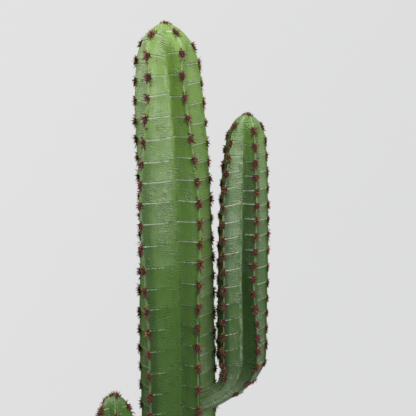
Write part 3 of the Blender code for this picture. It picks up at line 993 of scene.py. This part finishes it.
        # Painted sheen beside the valley, stronger lower down until it ends.
        valley_sheen_end = self.limb.fold_until
        fold = np.array([flank.fold for flank in flanks])[after] * (1 - smoothstep(0.75 * valley_sheen_end, valley_sheen_end, depth))
        fold = fold * (1 + 1.6 * faded)
        marks = {"swing": swing, "groove": groove * deep, "lip": lip, "tone": tone, "shade": shade, "edge": edge, "fold": fold}
        marks["gloss"] = gloss
        return {"depth": depth, "section": places, "point": points + normal * height[..., None], **marks}

    def valley(self, rib: int) -> dict[str, np.ndarray]:
        """Points and marks of the valley line after a rib."""
        end = self.limb.end()
        dome_end = self.limb.dome_height * 0.6
        depth = np.concatenate((self.rows.dome(dome_end), self.rows.even(dome_end, end, self.rows.valley), [end]))
        points, flat = self.limb.surface(rib, depth, np.ones_like(depth))
        places = np.concatenate((flat, depth[:, None]), axis=-1)
        out = unit(points - self.limb.frame(depth)[0])
        points = points + out * (self.noise(places) * smoothstep(0.0, 0.010, depth))[:, None]
        none = np.zeros_like(depth)
        marks = {"swing": none + 1, "groove": none, "lip": none, "tone": none + 0.3, "shade": self.limb.shade_start + self.limb.shade_gain * depth}
        marks["shade"] = between(marks["shade"], 0.60, self.limb.bend(depth))
        gloss = 1 - 0.8 * smoothstep(*self.limb.brush_fade, depth)
        marks |= {"edge": none, "fold": none, "gloss": gloss}
        return {"depth": depth, "section": places, "point": points, **marks}

    @staticmethod
    def zipped(left: tuple[np.ndarray, np.ndarray], right: tuple[np.ndarray, np.ndarray]) -> list[tuple[int, ...]]:
        """Triangles between two lines with their own rows.

        Args:
            left: Depths and vertex numbers of one line.
            right: Depths and vertex numbers of the other.

        Returns:
            The triangles' vertex numbers.
        """
        faces = []
        i = j = 0
        while i + 1 < len(left[0]) or j + 1 < len(right[0]):
            ahead_left = left[0][i + 1] if i + 1 < len(left[0]) else math.inf
            ahead_right = right[0][j + 1] if j + 1 < len(right[0]) else math.inf
            if ahead_left <= ahead_right:
                faces.append((left[1][i], left[1][i + 1], right[1][j]))
                i += 1
            else:
                faces.append((left[1][i], right[1][j + 1], right[1][j]))
                j += 1
        return faces

    def mesh(self) -> bpy.types.Mesh:
        """Closed mesh of the whole skin, with its marks as attributes."""
        parts = []
        grids = []
        total = 0
        for rib in range(len(self.limb.rib_angles)):
            for part in (self.patch(rib), self.valley(rib)):
                count = part["depth"].size
                grids.append((part["depth"], np.arange(total, total + count).reshape(part["depth"].shape)))
                parts.append(part)
                total += count
        faces = []
        tip_ring = []
        foot_ring = []
        for i in range(0, len(grids), 2):
            (depth, index), (line_depth, line), (next_depth, next_index) = grids[i], grids[i + 1], grids[(i + 2) % len(grids)]
            corners = (index[:-1, :-1], index[1:, :-1], index[1:, 1:], index[:-1, 1:])
            faces += np.stack(corners, axis=-1).reshape(-1, 4).tolist()
            faces += self.zipped((depth[:, -1], index[:, -1]), (line_depth, line))
            faces += self.zipped((line_depth, line), (next_depth[:, 0], next_index[:, 0]))
            tip_ring += [*index[0], line[0]]
            foot_ring += [*index[-1], line[-1]]
        faces += [(tip_ring[i - 1], tip_ring[i], total) for i in range(len(tip_ring))]
        faces.append(foot_ring[::-1])
        apex, _, _ = self.limb.frame(np.zeros(1))
        points = np.concatenate([part["point"].reshape(-1, 3) for part in parts] + [apex])
        mesh = bpy.data.meshes.new(f"{self.limb.name}_skin")
        mesh.from_pydata(points.tolist(), [], [[int(i) for i in face] for face in faces])
        places = np.concatenate([part["section"].reshape(-1, 3) for part in parts] + [np.zeros((1, 3))])
        mesh.attributes.new("section", "FLOAT_VECTOR", "POINT").data.foreach_set("vector", places.ravel())
        at_apex = {"swing": 0.5, "groove": 0.0, "lip": 0.0, "tone": 0.5, "shade": self.limb.shade_start, "edge": 0.0, "fold": 0.0, "gloss": 1.0}
        for name, value in at_apex.items():
            values = np.concatenate([part[name].ravel() for part in parts] + [np.array([value])])
            mesh.attributes.new(name, "FLOAT", "POINT").data.foreach_set("value", values)
        return mesh

    def build(self, finish: bpy.types.Material) -> bpy.types.Object:
        """Makes the skin's object, smooth-shaded and with its normals outward."""
        mesh = self.mesh()
        shape = bmesh.new()
        shape.from_mesh(mesh)
        bmesh.ops.recalc_face_normals(shape, faces=shape.faces)
        shape.to_mesh(mesh)
        shape.free()
        mesh.materials.append(finish)
        mesh.shade_smooth()
        made = bpy.data.objects.new(mesh.name, mesh)
        bpy.context.scene.collection.objects.link(made)
        return made

    def tuft_points(self) -> dict[str, np.ndarray]:
        """Places of the limb's tufts, and their outward and upward directions."""
        found = {"point": [], "outward": [], "upward": []}
        step = 0.0015
        for rib in range(len(self.limb.rib_angles)):
            depth = self.limb.areoles(rib)
            on_crest = np.zeros_like(depth)
            point, _ = self.limb.surface(rib, depth, on_crest)
            upward = self.limb.surface(rib, depth - step, on_crest)[0] - self.limb.surface(rib, depth + step, on_crest)[0]
            across = self.limb.surface(rib, depth, on_crest + CREST_END)[0] - self.limb.surface(rib, depth, on_crest - CREST_END)[0]
            outward = unit(np.cross(across, upward))
            found["point"].append(point)
            found["outward"].append(outward)
            found["upward"].append(unit(upward))
        apex, _, _ = self.limb.frame(np.full(2, 0.0022))
        beside = np.array([[-0.0024, 0.0, 0.0], [0.0044, -0.0010, -0.0006]])
        found["point"].append(apex + beside)
        found["outward"].append(unit(np.array([[-0.2, -0.1, 1.0], [0.4, -0.1, 1.0]])))
        found["upward"].append(np.array([[0.0, 1.0, 0.1], [0.0, 1.0, 0.1]]))
        return {name: np.concatenate(values) for name, values in found.items()}


class SpineTone(Enum):
    """Plain colours of the moulded spines."""

    MAROON = (0.115, 0.022, 0.024, 1.0)
    RED_BROWN = (0.205, 0.054, 0.034, 1.0)
    ROSE = (0.240, 0.075, 0.085, 1.0)
    AMBER = (0.440, 0.220, 0.050, 1.0)


@dataclass(frozen=True)
class SpineSet:
    """The spines of one colour in each tuft: their number, size and mean direction."""

    tone: SpineTone
    count: int
    length: float
    thickness: float
    outward: float
    spread: float
    upward: float
    root_width: float


SPINE_SETS = (
    SpineSet(SpineTone.MAROON, 26, 0.0058, 0.00095, 0.75, 1.0, -0.15, 0.0058),
    SpineSet(SpineTone.RED_BROWN, 16, 0.0062, 0.00095, 0.90, 1.0, -0.05, 0.0054),
    SpineSet(SpineTone.ROSE, 5, 0.0074, 0.00070, 0.55, 1.0, -0.25, 0.0052),
    SpineSet(SpineTone.AMBER, 7, 0.0064, 0.00100, 0.95, 0.8, 0.40, 0.0046),
)


def realized(name: str, source: bpy.types.Object, tree: bpy.types.NodeTree, values: Mapping[str, Any]) -> bpy.types.Object:
    """Runs a Geometry Nodes tree on an object and keeps the result as a plain mesh.

    Args:
        name: The new object's name.
        source: The object that carries the points.
        tree: The Geometry Nodes tree.
        values: Its inputs by name.

    Returns:
        The new object, without a modifier.
    """
    modifier = source.modifiers.new(name, "NODES")
    modifier.node_group = tree
    for item in tree.interface.items_tree:
        if item.in_out == "INPUT" and item.name in values:
            modifier[item.identifier] = values[item.name]
    graph = bpy.context.evaluated_depsgraph_get()
    mesh = bpy.data.meshes.new_from_object(source.evaluated_get(graph), depsgraph=graph)
    source.modifiers.remove(modifier)
    for attribute in [item.name for item in mesh.attributes if item.name in ("outward", "upward", "size")]:
        mesh.attributes.remove(mesh.attributes[attribute])
    mesh.name = name
    made = bpy.data.objects.new(name, mesh)
    bpy.context.scene.collection.objects.link(made)
    return made


class TuftTrees:
    """Geometry Nodes trees that put spines and felt pads on areole points."""

    @staticmethod
    def random(graph: Graph, low: Any, high: Any, seed: Any, step: int) -> bpy.types.Node:
        """Random value for each point, with its own step of the seed."""
        inputs = {"Min": low, "Max": high, "Seed": graph.sum("ADD", seed, step)}
        return graph.add("FunctionNodeRandomValue", inputs, data_type="FLOAT")

    @staticmethod
    def named(graph: Graph, name: str) -> bpy.types.Node:
        """Vector attribute of the points."""
        return graph.add("GeometryNodeInputNamedAttribute", {"Name": name}, data_type="FLOAT_VECTOR")

    @staticmethod
    def scaled(graph: Graph, vector: Any, share: Any) -> bpy.types.Node:
        """Vector times a number."""
        return graph.add("ShaderNodeVectorMath", {0: vector, "Scale": share}, operation="SCALE")

    @classmethod
    def spines(cls) -> bpy.types.NodeTree:
        """Tree that grows thin bent spines out of each point."""
        number = "NodeSocketFloat"
        inputs = {
            "Geometry": "NodeSocketGeometry",
            "Count": "NodeSocketInt",
            "Length": number,
            "Thickness": number,
            "Outward": number,
            "Spread": number,
            "Upward": number,
            "Root Width": number,
            "Seed": "NodeSocketInt",
            "Material": "NodeSocketMaterial",
        }
        graph, given, result = new_group("spine_tufts", "GeometryNodeTree", inputs, {"Geometry": "NodeSocketGeometry"})
        ask = given.outputs
        seed = ask["Seed"]
        spines = graph.add(
            "GeometryNodeDuplicateElements", {"Geometry": ask["Geometry"], "Amount": ask["Count"]}, domain="POINT"
        )
        outward = cls.named(graph, "outward")
        upward = cls.named(graph, "upward")
        size = graph.add("GeometryNodeInputNamedAttribute", {"Name": "size"}, data_type="FLOAT")
        across = graph.vector("CROSS_PRODUCT", upward, outward)
        sideways = graph.times(cls.random(graph, -1.0, 1.0, seed, 1), ask["Spread"])
        rising = graph.sum("ADD", graph.times(cls.random(graph, -1.0, 1.0, seed, 2), ask["Spread"]), ask["Upward"])
        lift = graph.times(cls.random(graph, 0.45, 1.2, seed, 3), ask["Outward"])
        aim = graph.vector("ADD", cls.scaled(graph, outward, lift), cls.scaled(graph, across, sideways))
        aim = graph.vector("ADD", aim, cls.scaled(graph, upward, rising))
        root = graph.vector(
            "ADD",
            cls.scaled(graph, across, graph.times(sideways, size, cls.random(graph, 0.0, 1.0, seed, 7), ask["Root Width"])),
            cls.scaled(graph, upward, graph.times(rising, size, cls.random(graph, 0.0, 1.8, seed, 4), ask["Root Width"])),
        )
        root = graph.vector("ADD", root, cls.scaled(graph, outward, graph.times(ask["Thickness"], -1.0)))
        placed = graph.add("GeometryNodeSetPosition", {"Geometry": spines, "Offset": root})
        cone = graph.add(
            "GeometryNodeMeshCone",
            {
                "Vertices": 4,
                "Side Segments": 3,
                "Radius Top": 0.0,
                "Radius Bottom": ask["Thickness"],
                "Depth": ask["Length"],
            },
        )
        height = graph.add("ShaderNodeSeparateXYZ", {0: graph.add("GeometryNodeInputPosition")}).outputs["Z"]
        share = graph.sum("DIVIDE", height, ask["Length"])
        sag = graph.times(share, share, height, 0.22)
        bent = graph.add(
            "GeometryNodeSetPosition", {"Geometry": cone, "Offset": graph.add("ShaderNodeCombineXYZ", {"Y": graph.times(sag, -1.0)})}
        )
        turn = graph.add(
            "FunctionNodeAxesToRotation", {"Primary Axis": aim, "Secondary Axis": upward}, primary_axis="Z", secondary_axis="Y"
        )
        width = cls.random(graph, 0.8, 1.25, seed, 5)
        stretch = graph.times(size, cls.random(graph, 0.55, 1.15, seed, 6))
        scale = graph.add("ShaderNodeCombineXYZ", {"X": width, "Y": width, "Z": stretch})
        grown = graph.add(
            "GeometryNodeInstanceOnPoints", {"Points": placed, "Instance": bent, "Rotation": turn, "Scale": scale}
        )
        cls.close(graph, grown, ask["Material"], result)
        return graph.tree

    @classmethod
    def pads(cls) -> bpy.types.NodeTree:
        """Tree that puts a flat felt pad on each point."""
        inputs = {
            "Geometry": "NodeSocketGeometry",
            "Size": "NodeSocketVector",
            "Seed": "NodeSocketInt",
            "Material": "NodeSocketMaterial",
        }
        graph, given, result = new_group("felt_pads", "GeometryNodeTree", inputs, {"Geometry": "NodeSocketGeometry"})
        ask = given.outputs
        turn = graph.add(
            "FunctionNodeAxesToRotation",
            {"Primary Axis": cls.named(graph, "outward"), "Secondary Axis": cls.named(graph, "upward")},
            primary_axis="Z",
            secondary_axis="Y",
        )
        scale = cls.scaled(graph, ask["Size"], cls.random(graph, 0.8, 1.2, ask["Seed"], 1))
        ball = graph.add("GeometryNodeMeshIcoSphere", {"Radius": 1.0, "Subdivisions": 2})
        placed = graph.add(
            "GeometryNodeInstanceOnPoints",
            {"Points": ask["Geometry"], "Instance": ball.outputs["Mesh"], "Rotation": turn, "Scale": scale},
        )
        cls.close(graph, placed, ask["Material"], result)
        return graph.tree

    @staticmethod
    def close(graph: Graph, instances: Any, material: Any, result: Any) -> None:
        """Ends a tree: realizes its instances, smooths them and sets their material."""
        real = graph.add("GeometryNodeRealizeInstances", {"Geometry": instances})
        smooth = graph.add("GeometryNodeSetShadeSmooth", {"Geometry": real})
        painted = graph.add("GeometryNodeSetMaterial", {"Geometry": smooth, "Material": material})
        graph.feed(result.inputs["Geometry"], painted)


@dataclass
class Tufts:
    """The spine tufts and felt pads of one limb."""

    skin: LimbSkin
    seed: int
    pad_size: tuple[float, float, float] = (0.0038, 0.0056, 0.0016)

    def carrier(self) -> bpy.types.Object:
        """Temporary object with one point for each tuft."""
        found = self.skin.tuft_points()
        mesh = bpy.data.meshes.new("areoles")
        mesh.from_pydata(found["point"].tolist(), [], [])
        for name in ("outward", "upward"):
            mesh.attributes.new(name, "FLOAT_VECTOR", "POINT").data.foreach_set("vector", found[name].ravel())
        sizes = self.skin.limb.tuft_size * np.random.default_rng(self.seed).uniform(0.85, 1.15, len(found["point"]))
        mesh.attributes.new("size", "FLOAT", "POINT").data.foreach_set("value", sizes)
        made = bpy.data.objects.new("areoles", mesh)
        bpy.context.scene.collection.objects.link(made)
        return made

    def build(self, spines: bpy.types.NodeTree, pads: bpy.types.NodeTree, finishes: Mapping[str, bpy.types.Material]) -> None:
        """Builds one piece for each spine colour, and the pads.

        Args:
            spines: The spine tree.
            pads: The pad tree.
            finishes: Material for each spine colour, and for the pads.
        """
        carrier = self.carrier()
        limb = self.skin.limb.name
        for number, kind in enumerate(SPINE_SETS):
            values = {
                "Count": kind.count,
                "Length": kind.length,
                "Thickness": kind.thickness,
                "Outward": kind.outward,
                "Spread": kind.spread,
                "Upward": kind.upward,
                "Root Width": kind.root_width,
                "Seed": self.seed + 10 * number,
                "Material": finishes[kind.tone.name],
            }
            ride(realized(f"{limb}_spines_{kind.tone.name.lower()}", carrier, spines, values), "spines")
        values = {"Size": self.pad_size, "Seed": self.seed, "Material": finishes["felt"]}
        ride(realized(f"{limb}_areole_pads", carrier, pads, values), "spines")
        bpy.data.objects.remove(carrier)


def rounded(corners: Sequence[tuple[float, float, float]], steps: int = 5) -> list[tuple[float, float]]:
    """Profile whose corners are rounded.

    Args:
        corners: Radius, height and rounding of each corner.
        steps: Points on each rounded corner.

    Returns:
        The profile's (radius, height) points.
    """
    found = []
    for i, (radius, height, rounding) in enumerate(corners):
        corner = np.array((radius, height))
        if rounding == 0:
            found.append((radius, height))
            continue
        before, after = (np.array(corners[j][:2]) for j in (i - 1, i + 1))
        start = corner + unit(before - corner) * rounding
        end = corner + unit(after - corner) * rounding
        for t in np.linspace(0, 1, steps):
            found.append(tuple(quadratic(start, corner, end, t)))
    return found


def turned(name: str, profile: Sequence[tuple[float, float]], sides: int, finish: bpy.types.Material) -> bpy.types.Object:
    """Closed object turned about Z from a profile that runs from axis to axis."""
    shape = bmesh.new()
    rows = []
    for radius, height in profile:
        count = sides if radius > 0 else 1
        turns = [2 * math.pi * i / sides for i in range(count)]
        rows.append([shape.verts.new((radius * math.cos(a), radius * math.sin(a), height)) for a in turns])
    for first, second in zip(rows, rows[1:]):
        for i in range(sides):
            j = (i + 1) % sides
            corners = [first[i % len(first)], first[j % len(first)], second[j % len(second)], second[i % len(second)]]
            shape.faces.new(list(dict.fromkeys(corners)))
    bmesh.ops.recalc_face_normals(shape, faces=shape.faces)
    mesh = bpy.data.meshes.new(name)
    shape.to_mesh(mesh)
    shape.free()
    mesh.materials.append(finish)
    mesh.shade_smooth()
    mesh.set_sharp_from_angle(angle=math.radians(40))
    made = bpy.data.objects.new(name, mesh)
    bpy.context.scene.collection.objects.link(made)
    return made


@dataclass
class Pot:
    """The plain tapered pot with a band round its rim, and the filling in it."""

    effects: Effects
    foot_radius: float = 0.074
    top_radius: float = 0.092
    rim_height: float = 0.016
    wall: float = 0.004
    floor: float = 0.005
    sides: int = 160
    gap: float = 0.0003

    def __post_init__(self) -> None:
        """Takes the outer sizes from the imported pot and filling."""
        self.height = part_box("pot")[1].z
        self.rim_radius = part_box("pot")[1].x
        self.fill_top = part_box("filling")[1].z

    def radius(self, height: float) -> float:
        """Outer radius of the tapered wall."""
        return self.foot_radius + (self.top_radius - self.foot_radius) * height / self.height

    def corners(self) -> list[tuple[float, float, float]]:
        """Corners of the pot's profile, from the axis underneath to the axis inside."""
        band = self.height - self.rim_height
        bead = band - 0.005
        recess = 0.0012
        return [
            (0.0, recess, 0.0),
            (self.foot_radius - 0.009, recess, 0.0008),
            (self.foot_radius - 0.008, 0.0, 0.0005),
            (self.foot_radius, 0.0, 0.0016),
            (self.radius(0.010), 0.010, 0.0004),
            (self.radius(0.0106) - 0.0005, 0.0106, 0.0003),
            (self.radius(0.0114) - 0.0005, 0.0114, 0.0003),
            (self.radius(0.012), 0.012, 0.0004),
            (self.radius(bead), bead, 0.0008),
            (self.radius(bead) + 0.0014, bead + 0.0014, 0.0008),
            (self.radius(bead) + 0.0014, bead + 0.0026, 0.0008),
            (self.radius(band), bead + 0.0036, 0.0006),
            (self.radius(band), band, 0.0008),
            (self.rim_radius - 0.0004, band, 0.0013),
            (self.rim_radius, self.height, 0.0016),
            (self.top_radius - self.wall, self.height, 0.0013),
            (self.radius(self.floor) - self.wall, self.floor, 0.0),
            (0.0, self.floor, 0.0),
        ]

    def build(self) -> None:
        """Builds the pot and its filling."""
        edges = (self.height, self.height - self.rim_height)
        finish = PotFinish("pot_plastic", 0.52, self.effects, edges).material()
        ride(turned("plant_pot", rounded(self.corners()), self.sides, finish), "pot", "pot")
        ride(self.filling(), "filling", "filling")

    def filling(self) -> bpy.types.Object:
        """The uneven top of the filling, closed down to the pot's floor."""
        low = self.floor + self.gap
        clear = self.wall + self.gap
        edge = self.radius(self.fill_top) - clear - 0.0012
        profile = [(0.0, low), (self.radius(low) - clear, low)]
        profile += [(self.radius(self.fill_top - 0.002) - clear, self.fill_top - 0.002)]
        profile += [(edge * (1 - i / 30), self.fill_top) for i in range(31)]
        made = turned("cast_filling", profile, self.sides, SoilFinish("cast_filling", 0.95, self.effects).material())
        for vertex in made.data.vertices:
            if vertex.co.z > self.fill_top - 0.001:
                vertex.co.z -= 0.0016 * (0.5 + 0.5 * noise.noise(vertex.co * 160)) + 0.0008 * abs(noise.noise(vertex.co * 600))
        return made


class StoneTone(Enum):
    """Plain colours of the gravel."""

    GREY = (0.165, 0.160, 0.150, 1.0)
    BROWN = (0.150, 0.105, 0.070, 1.0)
    CREAM = (0.430, 0.385, 0.310, 1.0)
    SLATE = (0.060, 0.062, 0.064, 1.0)


@dataclass
class Gravel:
    """Pebbles on the filling, round the foot of the stem."""

    pot: Pot
    spacing: float = 0.0062
    stone_radius: float = 0.0042
    margin: float = 0.0035
    seed: int = 7

    def bed(self) -> bpy.types.Object:
        """Temporary ring between the stem's foot and the pot's wall."""
        swings = np.linspace(-1, 1, 13)[:-1]
        inner = [MAIN.surface(rib, np.full(12, MAIN.length), swings)[0] for rib in range(len(MAIN.rib_angles))]
        inner = np.concatenate(inner)
        out = unit(inner[:, :2])
        level = self.pot.fill_top + 0.0002
        reach = self.pot.radius(level) - self.pot.wall - self.margin
        rings = [np.column_stack((ring, np.full(len(ring), level))) for ring in (inner[:, :2] + out * self.margin, out * reach)]
        count = len(inner)
        faces = [(i, (i + 1) % count, count + (i + 1) % count, count + i) for i in range(count)]
        mesh = bpy.data.meshes.new("gravel_bed")
        mesh.from_pydata(np.concatenate(rings).tolist(), [], faces)
        made = bpy.data.objects.new("gravel_bed", mesh)
        bpy.context.scene.collection.objects.link(made)
        return made

    @staticmethod
    def tree() -> bpy.types.NodeTree:
        """Tree that scatters the stones of one colour over the bed."""
        inputs = {
            "Geometry": "NodeSocketGeometry",
            "Spacing": "NodeSocketFloat",
            "Radius": "NodeSocketFloat",
            "Lift": "NodeSocketFloat",
            "Tone": "NodeSocketInt",
            "Tones": "NodeSocketInt",
            "Seed": "NodeSocketInt",
            "Material": "NodeSocketMaterial",
        }
        graph, given, result = new_group("gravel", "GeometryNodeTree", inputs, {"Geometry": "NodeSocketGeometry"})
        ask = given.outputs
        seed = ask["Seed"]
        random = TuftTrees.random
        points = graph.add(
            "GeometryNodeDistributePointsOnFaces",
            {"Mesh": ask["Geometry"], "Distance Min": ask["Spacing"], "Density Max": 90000.0, "Seed": seed},
            distribute_method="POISSON",
        )
        raised = graph.add(
            "GeometryNodeSetPosition",
            {"Geometry": points, "Offset": graph.add("ShaderNodeCombineXYZ", {"Z": random(graph, 0.0, ask["Lift"], seed, 1)})},
        )
        picked = graph.sum("FLOOR", random(graph, 0.0, ask["Tones"], seed, 2))
        own = graph.add("FunctionNodeCompare", {"A": picked, "B": ask["Tone"]}, data_type="FLOAT", operation="EQUAL")
        half_turn = math.pi
        turn = graph.add(
            "ShaderNodeCombineXYZ",
            {"X": random(graph, -0.5, 0.5, seed, 3), "Y": random(graph, -0.5, 0.5, seed, 4), "Z": random(graph, -half_turn, half_turn, seed, 5)},
        )
        scale = graph.add(
            "ShaderNodeCombineXYZ",
            {"X": random(graph, 0.75, 1.15, seed, 6), "Y": random(graph, 0.6, 0.95, seed, 7), "Z": random(graph, 0.45, 0.75, seed, 8)},
        )
        ball = graph.add("GeometryNodeMeshIcoSphere", {"Radius": ask["Radius"], "Subdivisions": 3})
        stones = graph.add(
            "GeometryNodeInstanceOnPoints",
            {"Points": raised, "Selection": own, "Instance": ball.outputs["Mesh"], "Rotation": turn, "Scale": scale},
        )
        real = graph.add("GeometryNodeRealizeInstances", {"Geometry": stones})
        lumps = graph.add("ShaderNodeTexNoise", {"Scale": 190.0, "Detail": 2.0}).outputs["Color"]
        push = TuftTrees.scaled(graph, graph.vector("SUBTRACT", lumps, (0.5, 0.5, 0.5)), 0.0042)
        worn = graph.add("GeometryNodeSetPosition", {"Geometry": real, "Offset": push})
        TuftTrees.close(graph, worn, ask["Material"], result)
        return graph.tree

    def build(self) -> None:
        """Builds one piece for each colour of stone."""
        bed = self.bed()
        tree = self.tree()
        for number, tone in enumerate(StoneTone):
            name = tone.name.lower()
            values = {
                "Spacing": self.spacing,
                "Radius": self.stone_radius,
                "Lift": 0.0022,
                "Tone": number,
                "Tones": len(StoneTone),
                "Seed": self.seed,
                "Material": PlainFinish(f"{name}_stone", 0.75, tone.value).material(),
            }
            ride(realized(f"gravel_{name}", bed, tree, values), "filling")
        bpy.data.objects.remove(bed)


@dataclass
class Studio:
    """Plain pale floor and backdrop, soft lights and the camera."""

    aim: tuple[float, float, float] = (0.0483, 0.0, 0.785)
    distance: float = 2.08
    down_pitch: float = 5.6
    lens: float = 112.5
    floor_radius: float = 1.45

    def camera(self) -> None:
        """Camera at the picture's viewing angle."""
        data = bpy.data.cameras.new("camera")
        data.lens = self.lens
        data.sensor_width = 36.0
        data.clip_end = 50.0
        made = bpy.data.objects.new("camera", data)
        pitch = math.radians(self.down_pitch)
        back = Vector((0.0, -math.cos(pitch), math.sin(pitch)))
        made.location = Vector(self.aim) + back * self.distance
        made.rotation_euler = (math.pi / 2 - pitch, 0.0, 0.0)
        bpy.context.scene.collection.objects.link(made)
        bpy.context.scene.camera = made

    def floor(self) -> None:
        """Pale round floor under the pot."""
        finish = PlainFinish("pale_floor", 0.9, (0.50, 0.50, 0.50, 1.0)).material()
        made = turned("studio_floor", [(0.0, -0.004), (self.floor_radius, -0.004), (self.floor_radius, 0.0), (0.0, 0.0)], 96, finish)
        made.location.z = -0.0005

    def area_light(self, name: str, place: Sequence[float], size: Sequence[float], power: float) -> None:
        """Soft light of a width and a height, turned to the plant."""
        target = (0.0, 0.0, 0.8)
        data = bpy.data.lights.new(name, "AREA")
        data.shape = "RECTANGLE"
        data.size, data.size_y = size
        data.energy = power
        made = bpy.data.objects.new(name, data)
        made.location = place
        made.rotation_euler = (Vector(target) - Vector(place)).to_track_quat("-Z", "Y").to_euler()
        bpy.context.scene.collection.objects.link(made)

    def world(self) -> None:
        """Pale backdrop for the camera, and soft surround light that is dim at the left front."""
        world = bpy.data.worlds.new("studio")
        world.use_nodes = True
        bpy.context.scene.world = world
        graph = Graph(world.node_tree)
        background = world.node_tree.nodes["Background"]
        direction = graph.add("ShaderNodeTexCoord").outputs["Generated"]
        tilt = graph.vector("DOT_PRODUCT", direction, (-0.6, 0.0, 0.4)).outputs["Value"]
        backdrop = graph.blend(graph.rise(tilt, -0.16, 0.14), (0.720, 0.722, 0.724, 1.0), (0.765, 0.765, 0.765, 1.0))
        height = graph.add("ShaderNodeSeparateXYZ", {0: direction}).outputs["Z"]
        pale = graph.blend(graph.rise(height, -0.22, 0.12), (0.10, 0.10, 0.10, 1.0), (0.50, 0.505, 0.51, 1.0))
        facing = graph.vector("DOT_PRODUCT", direction, tuple(unit(np.array((-0.66, -0.75, -0.20))))).outputs["Value"]
        surround = graph.blend(graph.rise(facing, 0.45, 0.90), pale, (0.09, 0.09, 0.09, 1.0))
        camera_ray = graph.add("ShaderNodeLightPath").outputs["Is Camera Ray"]
        graph.feed(background.inputs["Color"], graph.blend(camera_ray, surround, backdrop))

    def build(self) -> None:
        """Sets up the whole studio."""
        bpy.context.scene.view_settings.view_transform = "Standard"
        self.camera()
        self.floor()
        self.world()
        self.area_light("key_softbox", (0.75, -2.00, 1.65), (1.1, 1.2), 30.0)
        self.area_light("side_softbox", (-1.85, 0.60, 1.7), (1.0, 1.3), 21.0)
        self.area_light("top_softbox", (0.0, -0.2, 2.8), (1.2, 1.2), 20.0)


def main() -> None:
    """Builds the studio and every piece of the plant."""
    logging.basicConfig(level=logging.INFO, format="%(message)s")
    Studio().build()
    effects = Effects(grain_group(), dust_group())
    pot = Pot(effects)
    pot.build()
    Gravel(pot).build()
    skin_paint = SkinFinish("painted_skin", 0.33, effects).material()
    finishes = {tone.name: PlainFinish(f"{tone.name.lower()}_spine", 0.45, tone.value).material() for tone in SpineTone}
    finishes["felt"] = PlainFinish("areole_felt", 0.9, (0.070, 0.016, 0.014, 1.0)).material()
    spines = TuftTrees.spines()
    pads = TuftTrees.pads()
    stands_for = {"main": ("main_stem",), "right": ("right_arm", "right_elbow"), "left": ("left_arm", "left_elbow")}
    for seed, limb in enumerate((MAIN, RIGHT, LEFT), start=3):
        skin = LimbSkin(limb, Relief(), Rows(), seed)
        ride(skin.build(skin_paint), "skin", *stands_for[limb.name])
        Tufts(skin, 100 * seed).build(spines, pads, finishes)


if __name__ == "__main__":
    main()
